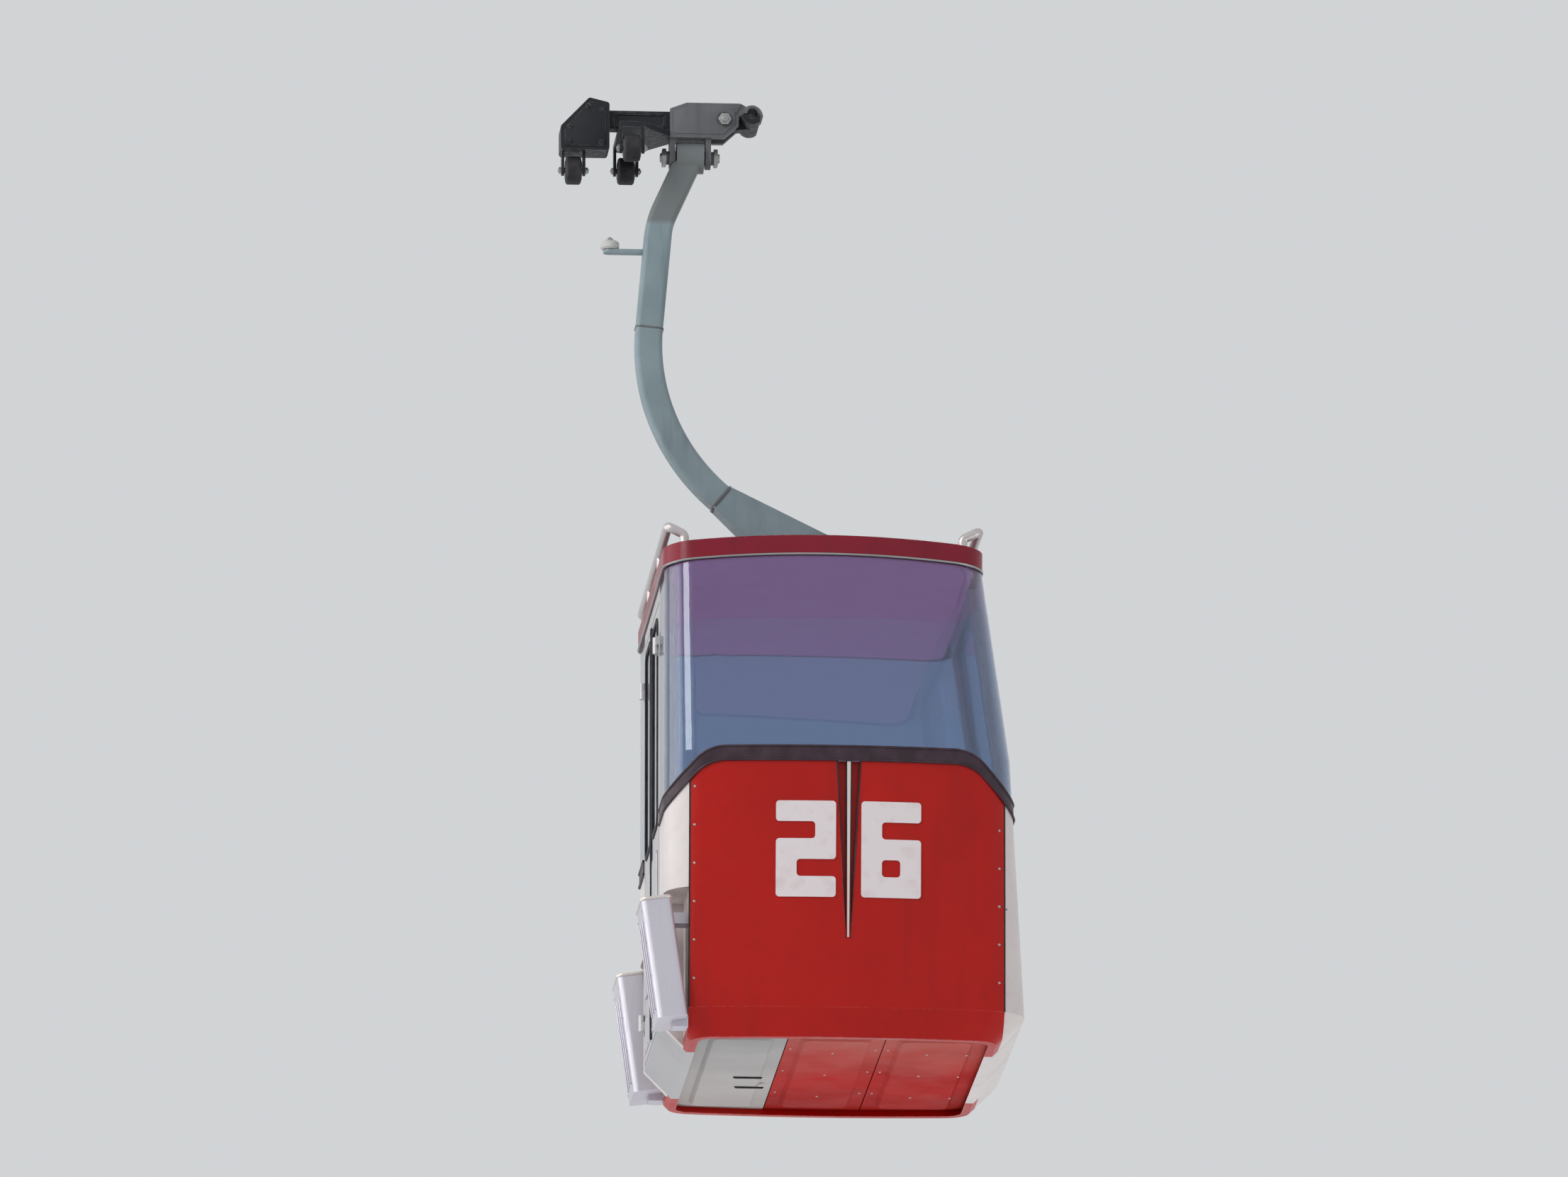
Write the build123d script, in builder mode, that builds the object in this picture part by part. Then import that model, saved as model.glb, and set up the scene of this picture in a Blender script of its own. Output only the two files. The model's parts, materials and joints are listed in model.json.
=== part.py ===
from build123d import *
import math
import os

# Small gondola cabin that hangs from a moving rope by a bowed hanger and a detachable grip.
# Millimetres. The rope runs along Y through the origin, +Z is up.
# -X is the door side and -Y is the front end.

os.makedirs("parts", exist_ok=True)

# Cabin hull: horizontal sections from the roof down to the underside
# Columns: height, door side x, far side x, half length, bow of the ends, corner radius
hull_sections = (
    (-1825, -360, 790, 800, 50, 130),
    (-2565, -360, 896, 825, 60, 150),
    (-3505, -360, 952, 755, 45, 140),
    (-3605, -262, 850, 700, 35, 90),
)
door_side = hull_sections[0][1]
roof_far_side = hull_sections[0][2]
roof_half_length = hull_sections[0][3]
roof_bow = hull_sections[0][4]
roof_corner = hull_sections[0][5]
underside_height = hull_sections[3][0]
underside_left = hull_sections[3][1]
underside_right = hull_sections[3][2]
underside_half_length = hull_sections[3][3]
underside_bow = hull_sections[3][4]

# Walls, glazing and floor
wall = 30
glazing = 6
floor_thickness = 55
mat_thickness = 6
ceiling_thickness = 8

# Roof
roof_edge_height = -1795
roof_crown = 30
crown_reach = 40
roof_band = 70
roof_skin = 25
roof_lip = 8

# Lines that part the panels of the end walls
belt_height = -2555
belt_shoulder = 150
belt_slope = 46
belt_round = 150
seal_height = 50
seal_depth = 14
seal_proud = 4
end_panel_left = -275
end_panel_right = 870
groove_width = 90
groove_depth = 20
groove_length = 700
groove_ridge = 16
belt_run = 400

# Door opening and door leaves
opening_half = 365
post_width = 40
frame_depth = 50
opening_top = -1915
opening_bottom = -3497
door_gap = 6
door_edge_gap = 8
door_meeting_gap = 12
door_thickness = 30
door_rim = 48
door_window_bottom = -2735
door_window_round = 40
hinge_offset = 13
hinge_pin_radius = 5
hinge_fit = 0.05
knuckle_radius = 11
knuckle_length = 60
hinge_heights = (-2085, -3335)
hinge_tab = 32
knuckle_gap = 0.3

# Far side window
far_window_half = 350
far_window_top = -1930
far_window_bottom = -2685

# Recesses for the ski quivers
recess_margin = 35
recess_top = -3065
quiver_center = 645
quiver_length = 260
quiver_depth = 110
quiver_height = 445
quiver_bottom = -3550
quiver_wall = 6
quiver_lean = 8
quiver_corner = 22
quiver_gap = 6
quiver_bracket = 80

# Floor pans: where the white tray and the two red pans meet, inside the walls' lower lip,
# each with a pressed field
tray_edge = 95
pan_edge = 450
pan_gap = 4
pan_recess = 25
field_margin = 45
field_height = 14
field_slope = 45
field_corner = 40

# Inside
mat_margin = 60
bench_front = 370
seat_height = 420
seat_thickness = 28
bench_panel = 22
backrest_height = 480
backrest_thickness = 24
backrest_gap = 12
backrest_margin = 60

# Roof rails
rail_radius = 17
rail_rise = 78
rail_half_length = 700
rail_inset = 8
rail_bend = 60
rail_turn = 60
rail_post_spread = 260
rail_post_radius = 11

# Roof frame, buffers and hanger
frame_bar_width = 50
frame_bar_height = 45
frame_bar_spread = 400
frame_bar_inset = 50
buffer_radius = 23
buffer_height = 28
buffer_spread = 110
base_plate = 16
base_margin = 40
base_depth = 170
foot_left = 230
foot_right = 120
foot_rise = 70
foot_round = 15
hanger_width = 100
hanger_thickness = 90
hanger_corner = 18
hanger_bend = (-338, -400)
hanger_joint = (-374, -800)
hanger_bend_radius = 300
bow_radius = 750
foot_heading = 50
guide_height = -505
guide_x = -520
guide_radius = 35
guide_width = 30
guide_gap = 2
guide_pin_radius = 8
guide_bracket_half = 24
guide_bracket_plate = 12
roller_chamfer = 6

# Grip
rope_radius = 20
jaw_wall = 22
jaw_half_length = 100
jaw_taper = 12
plate_outer_top = 25
plate_shoulder = -240
plate_crown = 6
pin_end = 12
pivot_x = -225
pivot_z = -150
pin_radius = 25
running_fit = 0.05
eye_radius = 58
eye_width = 100
ear_radius = 42
ear_thickness = 20
side_gap = 6
jaw_gap = 6
plate_inner = 31
plate_outer = 55
web_top = -58
web_bottom = -84
lever_half = 25
lever_top = 20
lever_bottom = -50
lever_pin = (-100, -15)
lever_pin_radius = 15
lever_boss_radius = 34
jaw_lip = 28
head_inner_x = -525
head_outer_x = -705
head_half = 60
head_bottom = -140
head_shoulder = 42
head_peak_x = -600
head_peak = 60
head_round = 12
wheel_x = -450
wheel_z = -160
wheel_y = 170
wheel_radius = 50
wheel_width = 60
axle_radius = 10
wheel_gap = 6
lug_thickness = 10
lug_half = 20
frame_plate = 22
roller_x = -655
roller_z = -205
roller_radius = 52
roller_width = 56

# Larger than the cabin, for the tools that part it
far = 4000


def plan_section(height, left, right, half_length, bow, corner):
    """Horizontal outline of the cabin: straight sides, bowed ends, round corners."""
    middle = (left + right) / 2
    y_corner = half_length - bow
    with BuildSketch(Plane.XY.offset(height)) as section:
        with BuildLine():
            ThreePointArc((left, -y_corner), (middle, -half_length), (right, -y_corner))
            Line((right, -y_corner), (right, y_corner))
            ThreePointArc((right, y_corner), (middle, half_length), (left, y_corner))
            Line((left, y_corner), (left, -y_corner))
        make_face()
        fillet(section.vertices(), corner)
    return section.sketch


def inset_hull(inset):
    """The hull's outer form, or the same form that much smaller all round."""
    sections = [
        plan_section(height, left + inset, right - inset, half_length - inset, bow, corner - inset)
        for height, left, right, half_length, bow, corner in hull_sections
    ]
    with BuildPart() as hull:
        loft(sections, ruled=True)
    return hull.part


def block(x_range, y_range, z_range):
    """A plain block between the given limits."""
    limits = (x_range, y_range, z_range)
    size = [high - low for low, high in limits]
    center = [(high + low) / 2 for low, high in limits]
    return Pos(*center) * Box(*size, mode=Mode.PRIVATE)


def below_crown(edge_height):
    """All below a line that rises by the crown from both sides to the middle of the roof."""
    left = door_side - crown_reach
    right = roof_far_side + crown_reach
    with BuildPart() as region:
        with BuildSketch(Plane.XZ):
            with BuildLine():
                ThreePointArc((left, edge_height), (roof_middle, edge_height + roof_crown), (right, edge_height))
                Polyline(
                    (right, edge_height), (far, edge_height), (far, -far),
                    (-far, -far), (-far, edge_height), (left, edge_height),
                )
            make_face()
        extrude(amount=far, both=True)
    return region.part


def above_belt(drop):
    """All above the belt line, which falls at both corners; the line may lie further down."""
    height = belt_height - drop
    fall = belt_run * math.tan(math.radians(belt_slope))
    left_turn = door_side + belt_shoulder
    right_turn = hull_sections[1][2] - belt_shoulder
    with BuildPart() as region:
        with BuildSketch(Plane.XZ):
            with BuildLine():
                belt = FilletPolyline(
                    (left_turn - belt_run, height - fall),
                    (left_turn, height),
                    (right_turn, height),
                    (right_turn + belt_run, height - fall),
                    radius=belt_round,
                )
                Polyline(belt @ 0, (left_turn - belt_run, 0), (right_turn + belt_run, 0), belt @ 1)
            make_face()
        extrude(amount=far, both=True)
    return region.part


def finish(piece, name):
    """Label a piece and write it."""
    piece.label = name
    export_step(piece, f"parts/{name}.step")


def finish_both_ends(piece, name):
    """Write a front piece and its mirror image at the rear."""
    finish(piece, f"{name}_front")
    finish(mirror(piece, about=Plane.XZ), f"{name}_rear")


# How a cylinder stands on its place or hangs from it
stand = (Align.CENTER, Align.CENTER, Align.MIN)
hang = (Align.CENTER, Align.CENTER, Align.MAX)

ends = (("front", -1), ("rear", 1))
roof_middle = (door_side + roof_far_side) / 2
post_edge = opening_half + post_width
recess_start = post_edge + recess_margin
recess_wall = end_panel_left + wall

outer_hull = inset_hull(0)
inner_hull = inset_hull(wall)
glass_inner = inset_hull(glazing)
seal_outer = inset_hull(-seal_proud)
seal_inner = inset_hull(seal_depth)
groove_floor = inset_hull(groove_depth)
backrest_inner = inset_hull(wall + backrest_thickness)
roof_top = below_crown(roof_edge_height)
under_roof = below_crown(roof_edge_height - roof_band)
under_ceiling = below_crown(roof_edge_height - roof_band - ceiling_thickness)
over_belt = above_belt(0)
over_seal = above_belt(seal_height)

with BuildPart() as wall_shell:
    add(outer_hull)
    add(inner_hull, mode=Mode.SUBTRACT)
    add(under_roof, mode=Mode.INTERSECT)

with BuildPart() as glass_shell:
    add(outer_hull)
    add(glass_inner, mode=Mode.SUBTRACT)
    add(under_roof, mode=Mode.INTERSECT)

# Wrap-round end windows
with BuildPart() as end_window:
    add(glass_shell.part)
    add(over_belt, mode=Mode.INTERSECT)
    add(block((-far, far), (-far, -post_edge), (-far, 0)), mode=Mode.INTERSECT)
finish_both_ends(end_window.part, "end_window")

# Rubber seals under the end windows
with BuildPart() as window_seal:
    add(seal_outer)
    add(seal_inner, mode=Mode.SUBTRACT)
    add(over_seal, mode=Mode.INTERSECT)
    add(over_belt, mode=Mode.SUBTRACT)
    add(block((-far, far), (-far, -post_edge), (-far, 0)), mode=Mode.INTERSECT)
finish_both_ends(window_seal.part, "window_seal")

# Red end panels with a tapering double groove down the middle
groove_middle = (end_panel_left + end_panel_right) / 2
with BuildPart() as groove:
    with BuildSketch(Plane.XZ):
        for turn in (-1, 1):
            with BuildLine():
                Polyline(
                    (groove_middle + turn * groove_ridge / 2, belt_height),
                    (groove_middle + turn * groove_width / 2, belt_height),
                    (groove_middle + turn * groove_ridge / 2, belt_height - groove_length),
                    close=True,
                )
            make_face()
    extrude(amount=far)
    add(groove_floor, mode=Mode.SUBTRACT)

with BuildPart() as end_panel:
    add(wall_shell.part)
    add(over_seal, mode=Mode.SUBTRACT)
    add(block((end_panel_left, end_panel_right), (-far, -post_edge), (-far, 0)), mode=Mode.INTERSECT)
    add(groove.part, mode=Mode.SUBTRACT)
finish_both_ends(end_panel.part, "end_panel")

# White panels round the door-side corners, cut back below for the ski quivers
recess_space = block((-far, end_panel_left), (-far, -recess_start), (-far, recess_top))
rear_recess_space = mirror(recess_space, about=Plane.XZ)
with BuildPart() as corner_room:
    add(inner_hull)
    add(
        block((-far, recess_wall), (-far, wall - recess_start), (-far, recess_top + wall)),
        mode=Mode.SUBTRACT,
    )

with BuildPart() as corner_panel:
    add(outer_hull)
    add(recess_space, mode=Mode.SUBTRACT)
    add(corner_room.part, mode=Mode.SUBTRACT)
    add(over_seal, mode=Mode.SUBTRACT)
    add(block((-far, underside_left + wall), (-far, -post_edge), (-far, 0)), mode=Mode.INTERSECT)
    add(end_panel.part, mode=Mode.SUBTRACT)
    add(groove.part, mode=Mode.SUBTRACT)
finish_both_ends(corner_panel.part, "corner_panel")
rear_corner_panel = mirror(corner_panel.part, about=Plane.XZ)

# White panel along the far side, round both of its corners
with BuildPart() as far_side:
    add(block((end_panel_right, far), (-far, far), (-far, 0)))
    add(block((roof_middle, far), (-post_edge, post_edge), (-far, 0)))

with BuildPart() as side_panel:
    add(wall_shell.part)
    add(over_seal, mode=Mode.SUBTRACT)
    add(far_side.part, mode=Mode.INTERSECT)
finish(side_panel.part, "side_panel")

# Far side window and its frame
far_window_space = block(
    (roof_middle, far), (-far_window_half, far_window_half), (far_window_bottom, far_window_top)
)
with BuildPart() as side_window_frame:
    add(wall_shell.part)
    add(over_seal, mode=Mode.INTERSECT)
    add(block((roof_middle, far), (-post_edge, post_edge), (-far, 0)), mode=Mode.INTERSECT)
    add(far_window_space, mode=Mode.SUBTRACT)
finish(side_window_frame.part, "side_window_frame")

with BuildPart() as side_window:
    add(glass_shell.part)
    add(far_window_space, mode=Mode.INTERSECT)
finish(side_window.part, "side_window")

# Door frame: posts, header and sill
with BuildPart() as door_frame:
    add(outer_hull)
    add(under_roof, mode=Mode.INTERSECT)
    add(
        block((-far, door_side + frame_depth), (-post_edge, post_edge), (-far, 0)),
        mode=Mode.INTERSECT,
    )
    add(
        block((-far, roof_middle), (-opening_half, opening_half), (opening_bottom, opening_top)),
        mode=Mode.SUBTRACT,
    )

with BuildPart() as door_sill:
    add(wall_shell.part)
    add(
        block((-far, underside_left + wall), (-post_edge, post_edge), (-far, opening_bottom)),
        mode=Mode.INTERSECT,
    )

with BuildPart() as framed_sill:
    add(door_frame.part)
    add(door_sill.part)
finish(framed_sill.part, "door_frame")

# Door leaves and their windows
leaf_edges = (door_meeting_gap / 2, opening_half - door_edge_gap)
leaf_heights = (opening_bottom + door_gap, opening_top - door_gap)
leaf_width = leaf_edges[1] - leaf_edges[0]
leaf_middle = -(leaf_edges[0] + leaf_edges[1]) / 2
hinge_x = door_side - hinge_offset
glass_width = leaf_width - 2 * door_rim
glass_height = leaf_heights[1] - door_rim - door_window_bottom
glass_middle = door_window_bottom + glass_height / 2

with BuildPart() as door_leaf:
    add(block((door_side, door_side + door_thickness), (-leaf_edges[1], -leaf_edges[0]), leaf_heights))
    with BuildSketch(Plane.YZ.offset(door_side)):
        with Locations((leaf_middle, glass_middle)):
            RectangleRounded(glass_width, glass_height, door_window_round)
    extrude(amount=door_thickness, mode=Mode.SUBTRACT)
    for height in hinge_heights:
        low = height - knuckle_length / 2
        with Locations((hinge_x, -opening_half, low)):
            Cylinder(knuckle_radius, knuckle_length / 2 - knuckle_gap, align=stand)
        add(block(
            (hinge_x, door_side),
            (-opening_half, hinge_tab - opening_half),
            (low, height - knuckle_gap),
        ))
        with Locations((hinge_x, -opening_half, height)):
            Cylinder(hinge_pin_radius + hinge_fit, 2 * knuckle_length, mode=Mode.SUBTRACT)
finish_both_ends(door_leaf.part, "door_leaf")

with BuildPart() as door_window:
    with BuildSketch(Plane.YZ.offset(door_side)):
        with Locations((leaf_middle, glass_middle)):
            RectangleRounded(glass_width, glass_height, door_window_round)
    extrude(amount=glazing)
finish_both_ends(door_window.part, "door_window")

# Hinge knuckles and pins on the door posts
with BuildPart() as door_hinges:
    for side in (-1, 1):
        for height in hinge_heights:
            edges = sorted((side * opening_half, side * (opening_half + hinge_tab)))
            with Locations((hinge_x, side * opening_half, height)):
                Cylinder(knuckle_radius, knuckle_length / 2, align=stand)
                Cylinder(hinge_pin_radius, knuckle_length / 2, align=hang)
            add(block((hinge_x, door_side), edges, (height, height + knuckle_length / 2)))
finish(door_hinges.part, "door_hinges")

# Floor pans: white tray on the door side, then two red panels
floor_top = underside_height + floor_thickness
pan_bottom = underside_height + pan_recess
pan_left = underside_left + wall
pan_right = underside_right - wall
field_length = 2 * (underside_half_length - underside_bow - wall - field_margin)
for name, left, right in (
    ("floor_tray", pan_left, tray_edge),
    ("floor_pan_middle", tray_edge + pan_gap, pan_edge),
    ("floor_pan_outer", pan_edge + pan_gap, pan_right),
):
    on_door_side = left == pan_left
    on_far_side = right == pan_right
    reach = (-far if on_door_side else left, far if on_far_side else right)
    with BuildPart() as floor_pan:
        add(inner_hull)
        add(block(reach, (-far, far), (pan_bottom, floor_top)), mode=Mode.INTERSECT)
        if on_door_side:
            add(recess_space, mode=Mode.SUBTRACT)
            add(rear_recess_space, mode=Mode.SUBTRACT)
            add(corner_panel.part, mode=Mode.SUBTRACT)
            add(rear_corner_panel, mode=Mode.SUBTRACT)
            add(framed_sill.part, mode=Mode.SUBTRACT)
        with BuildSketch(Plane.XY.offset(pan_bottom)):
            with Locations(((left + right) / 2, 0)):
                RectangleRounded(right - left - 2 * field_margin, field_length, field_corner)
        extrude(amount=-field_height, taper=field_slope)
    finish(floor_pan.part, name)

# Floor mat between the benches
mat_left = door_side + frame_depth + mat_margin
mat_right = roof_far_side - mat_margin
with BuildPart() as floor_mat:
    add(block((mat_left, mat_right), (-bench_front, bench_front), (floor_top, floor_top + mat_thickness)))
finish(floor_mat.part, "floor_mat")

# Benches and backrests at both ends
seat_top = floor_top + seat_height
bench_left = recess_wall
with BuildPart() as bench:
    add(inner_hull)
    add(block((bench_left, far), (-far, -bench_front), (floor_top, seat_top)), mode=Mode.INTERSECT)
    add(
        block(
            (bench_left + bench_panel, roof_far_side),
            (-far, -bench_front - bench_panel),
            (floor_top, seat_top - seat_thickness),
        ),
        mode=Mode.SUBTRACT,
    )
finish_both_ends(bench.part, "bench")

with BuildPart() as backrest:
    add(inner_hull)
    add(backrest_inner, mode=Mode.SUBTRACT)
    add(
        block(
            (bench_left + backrest_margin, roof_far_side - backrest_margin),
            (-far, -bench_front),
            (seat_top + backrest_gap, seat_top + backrest_height),
        ),
        mode=Mode.INTERSECT,
    )
finish_both_ends(backrest.part, "backrest")

# Ski quivers: open pockets that lean outwards in the recesses
lean = math.radians(quiver_lean)
quiver_foot = (end_panel_left - quiver_gap - quiver_depth / 2, -quiver_center, quiver_bottom)
quiver_plane = Plane(
    origin=quiver_foot, x_dir=(math.cos(lean), 0, math.sin(lean)), z_dir=(-math.sin(lean), 0, math.cos(lean))
)
quiver_pocket_center = (quiver_length - quiver_wall) / 4
quiver_pocket = (
    quiver_depth - 2 * quiver_wall,
    (quiver_length - 3 * quiver_wall) / 2,
    quiver_corner - quiver_wall,
)
with BuildPart() as quiver:
    with BuildSketch(quiver_plane):
        RectangleRounded(quiver_depth, quiver_length, quiver_corner)
    extrude(amount=quiver_height)
    for side in (-1, 1):
        with BuildSketch(quiver_plane.offset(quiver_wall)):
            with Locations((0, side * quiver_pocket_center)):
                RectangleRounded(*quiver_pocket)
        extrude(amount=quiver_height, mode=Mode.SUBTRACT)

# The quivers' brackets: a shelf under the foot and an arm near the top
quiver_rise = quiver_height * math.cos(lean)
with BuildPart() as quiver_carrier:
    for height, reach in (
        (quiver_bottom - quiver_bracket / 4, quiver_depth / 2),
        (quiver_bottom + quiver_rise - quiver_bracket, quiver_depth),
    ):
        add(block(
            (end_panel_left - reach, end_panel_left),
            (-quiver_center - quiver_bracket / 2, quiver_bracket / 2 - quiver_center),
            (height, height + quiver_bracket / 2),
        ))
    for side in (-1, 1):
        with BuildSketch(quiver_plane.offset(quiver_wall)):
            with Locations((0, side * quiver_pocket_center)):
                RectangleRounded(*quiver_pocket)
        extrude(amount=quiver_height, mode=Mode.SUBTRACT)

with BuildPart() as ski_quiver:
    add(quiver.part)
    add(quiver_carrier.part)
finish_both_ends(ski_quiver.part, "ski_quiver")

# Roof shell with its crown, and the lining under it
roof_base = roof_edge_height - roof_band
roof_plan = plan_section(
    roof_base,
    door_side - roof_lip, roof_far_side + roof_lip, roof_half_length + roof_lip,
    roof_bow, roof_corner,
)
roof_room_plan = plan_section(
    roof_base,
    door_side + wall, roof_far_side - wall, roof_half_length - wall,
    roof_bow, roof_corner - wall,
)
with BuildPart() as roof_cap:
    extrude(roof_plan, amount=roof_band + roof_crown)
    add(roof_top, mode=Mode.INTERSECT)
    add(under_roof, mode=Mode.SUBTRACT)

with BuildPart() as roof_shell:
    add(roof_cap.part)
    extrude(roof_room_plan, amount=roof_band - roof_skin, mode=Mode.SUBTRACT)
finish(roof_shell.part, "roof_shell")

with BuildPart() as ceiling:
    add(inner_hull)
    add(under_roof, mode=Mode.INTERSECT)
    add(under_ceiling, mode=Mode.SUBTRACT)
    add(door_frame.part, mode=Mode.SUBTRACT)
finish(ceiling.part, "ceiling")

# Roof rails along both sides, their ends turned down onto the roof
rail_height = roof_edge_height + rail_rise
for name, side in (("left", -1), ("right", 1)):
    rail_x = roof_middle + side * ((roof_far_side - door_side) / 2 - rail_inset)
    foot_x = rail_x - side * rail_turn
    roof_surface = roof_edge_height
    with BuildPart() as roof_rail:
        with BuildLine():
            rail_path = FilletPolyline(
                (foot_x, -rail_half_length, roof_surface),
                (foot_x, -rail_half_length, rail_height - rail_bend / 2),
                (rail_x, -rail_half_length, rail_height),
                (rail_x, rail_half_length, rail_height),
                (foot_x, rail_half_length, rail_height - rail_bend / 2),
                (foot_x, rail_half_length, roof_surface),
                radius=rail_bend / 3,
            )
        with BuildSketch(Plane(origin=rail_path @ 0, z_dir=rail_path % 0)):
            Circle(rail_radius)
        sweep()
        for post_y in (-rail_post_spread, rail_post_spread):
            with Locations((rail_x, post_y, roof_surface - roof_crown)):
                Cylinder(rail_post_radius, rail_rise + roof_crown, align=stand)
        add(roof_cap.part, mode=Mode.SUBTRACT)
    finish(roof_rail.part, f"roof_rail_{name}")

# Frame on the roof that carries the cabin
crown_top = roof_edge_height + roof_crown
frame_top = crown_top + frame_bar_height
bar_half = frame_bar_width / 2
cross_reach = (roof_far_side - door_side) / 2 - frame_bar_inset
post_center = opening_half + post_width / 2
with BuildPart() as roof_frame:
    for side in (-1, 1):
        add(block(
            (roof_middle - cross_reach, roof_middle + cross_reach),
            (side * post_center - bar_half, side * post_center + bar_half),
            (roof_edge_height, frame_top),
        ))
        bar_x = roof_middle + side * frame_bar_spread / 2
        add(block((bar_x - bar_half, bar_x + bar_half), (-post_center, post_center), (roof_edge_height, frame_top)))
    add(roof_cap.part, mode=Mode.SUBTRACT)
finish(roof_frame.part, "roof_frame")

with BuildPart() as rubber_buffers:
    with BuildSketch(Plane.XY.offset(frame_top)):
        with Locations((roof_middle, 0)):
            with GridLocations(frame_bar_spread, buffer_spread, 2, 2):
                Circle(buffer_radius)
    extrude(amount=buffer_height)
finish(rubber_buffers.part, "rubber_buffers")

# Hanger: head and upper arm, bowed lower tube, foot that spreads to the buffers
heading = math.radians(foot_heading)
lean_in = math.atan2(hanger_joint[0] - hanger_bend[0], hanger_bend[1] - hanger_joint[1])
bow_center = (
    hanger_joint[0] + bow_radius * math.cos(lean_in),
    hanger_joint[1] + bow_radius * math.sin(lean_in),
)
bow_end = (
    bow_center[0] - bow_radius * math.cos(heading),
    bow_center[1] - bow_radius * math.sin(heading),
)
bow_half_turn = (lean_in + heading) / 2
bow_mid = (
    bow_center[0] - bow_radius * math.cos(bow_half_turn),
    bow_center[1] - bow_radius * math.sin(bow_half_turn),
)


def at_line_plane(point):
    """A point given by x and height, in the plane across the rope."""
    return (point[0], 0, point[1])


with BuildPart() as hanger_head:
    with BuildLine():
        FilletPolyline(
            (pivot_x, 0, pivot_z),
            at_line_plane(hanger_bend),
            at_line_plane(hanger_joint),
            radius=hanger_bend_radius,
        )
    start = Vector(hanger_bend[0] - pivot_x, 0, hanger_bend[1] - pivot_z)
    with BuildSketch(Plane(origin=(pivot_x, 0, pivot_z), x_dir=(0, 1, 0), z_dir=start)):
        RectangleRounded(hanger_thickness, hanger_width, hanger_corner)
    sweep()
    # Room for the ears of the grip beside the eye
    for edge, reach in ((pivot_x - eye_width / 2, -far), (pivot_x + eye_width / 2, far)):
        with Locations(Plane(origin=(edge, 0, pivot_z), z_dir=(reach, 0, 0))):
            Cylinder(ear_radius + side_gap, far, align=stand, mode=Mode.SUBTRACT)
    with Locations(Plane(origin=(pivot_x, 0, pivot_z), z_dir=(1, 0, 0))):
        Cylinder(eye_radius, eye_width)
        Cylinder(pin_radius + running_fit, far, mode=Mode.SUBTRACT)
finish(hanger_head.part, "hanger_head")

with BuildPart() as hanger_tube:
    with BuildLine():
        ThreePointArc(at_line_plane(hanger_joint), at_line_plane(bow_mid), at_line_plane(bow_end))
    down = Vector(hanger_joint[0] - hanger_bend[0], 0, hanger_joint[1] - hanger_bend[1])
    with BuildSketch(Plane(origin=at_line_plane(hanger_joint), x_dir=(0, 1, 0), z_dir=down)):
        RectangleRounded(hanger_thickness, hanger_width, hanger_corner)
    sweep()
finish(hanger_tube.part, "hanger_tube")

base_bottom = frame_top + buffer_height
base_top = base_bottom + base_plate
base_half = frame_bar_spread / 2 + base_margin
across = (math.cos(heading) * hanger_width / 2, math.sin(heading) * hanger_width / 2)
with BuildPart() as hanger_foot:
    with BuildSketch(Plane.XZ):
        with BuildLine():
            foot_outline = FilletPolyline(
                (bow_end[0] - across[0], bow_end[1] - across[1]),
                (roof_middle - foot_left, base_top + foot_rise),
                (roof_middle - foot_left, base_top),
                (roof_middle + base_half, base_top),
                (roof_middle + foot_right, base_top + foot_rise),
                (bow_end[0] + across[0], bow_end[1] + across[1]),
                radius=foot_round,
            )
            Line(foot_outline @ 1, foot_outline @ 0)
        make_face()
    extrude(amount=hanger_thickness / 2, both=True)
    add(block(
        (roof_middle - base_half, roof_middle + base_half),
        (-base_depth / 2, base_depth / 2),
        (base_bottom, base_top),
    ))
finish(hanger_foot.part, "hanger_foot")

# Guide roller on its bracket at the outer side of the upper arm
bend_share = (hanger_bend[1] - guide_height) / (hanger_bend[1] - hanger_joint[1])
arm_edge = hanger_bend[0] + bend_share * (hanger_joint[0] - hanger_bend[0]) - hanger_width / 2
with BuildPart() as guide_bracket:
    with BuildSketch(Plane.XY.offset(guide_height)):
        with Locations((guide_x, 0)):
            Circle(guide_bracket_half)
        with Locations(((guide_x + arm_edge) / 2, 0)):
            Rectangle(arm_edge - guide_x, 2 * guide_bracket_half)
    extrude(amount=-guide_bracket_plate)
    with Locations((guide_x, 0, guide_height)):
        Cylinder(guide_pin_radius, guide_width + 2 * guide_gap, align=stand)
    add(hanger_head.part, mode=Mode.SUBTRACT)
finish(guide_bracket.part, "guide_bracket")

with BuildPart() as guide_roller:
    with Locations((guide_x, 0, guide_height + guide_gap)):
        Cylinder(guide_radius, guide_width, align=stand)
        chamfer(guide_roller.edges().filter_by(GeomType.CIRCLE), roller_chamfer)
        Cylinder(guide_pin_radius + running_fit, guide_width, align=stand, mode=Mode.SUBTRACT)
finish(guide_roller.part, "guide_roller")

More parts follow.
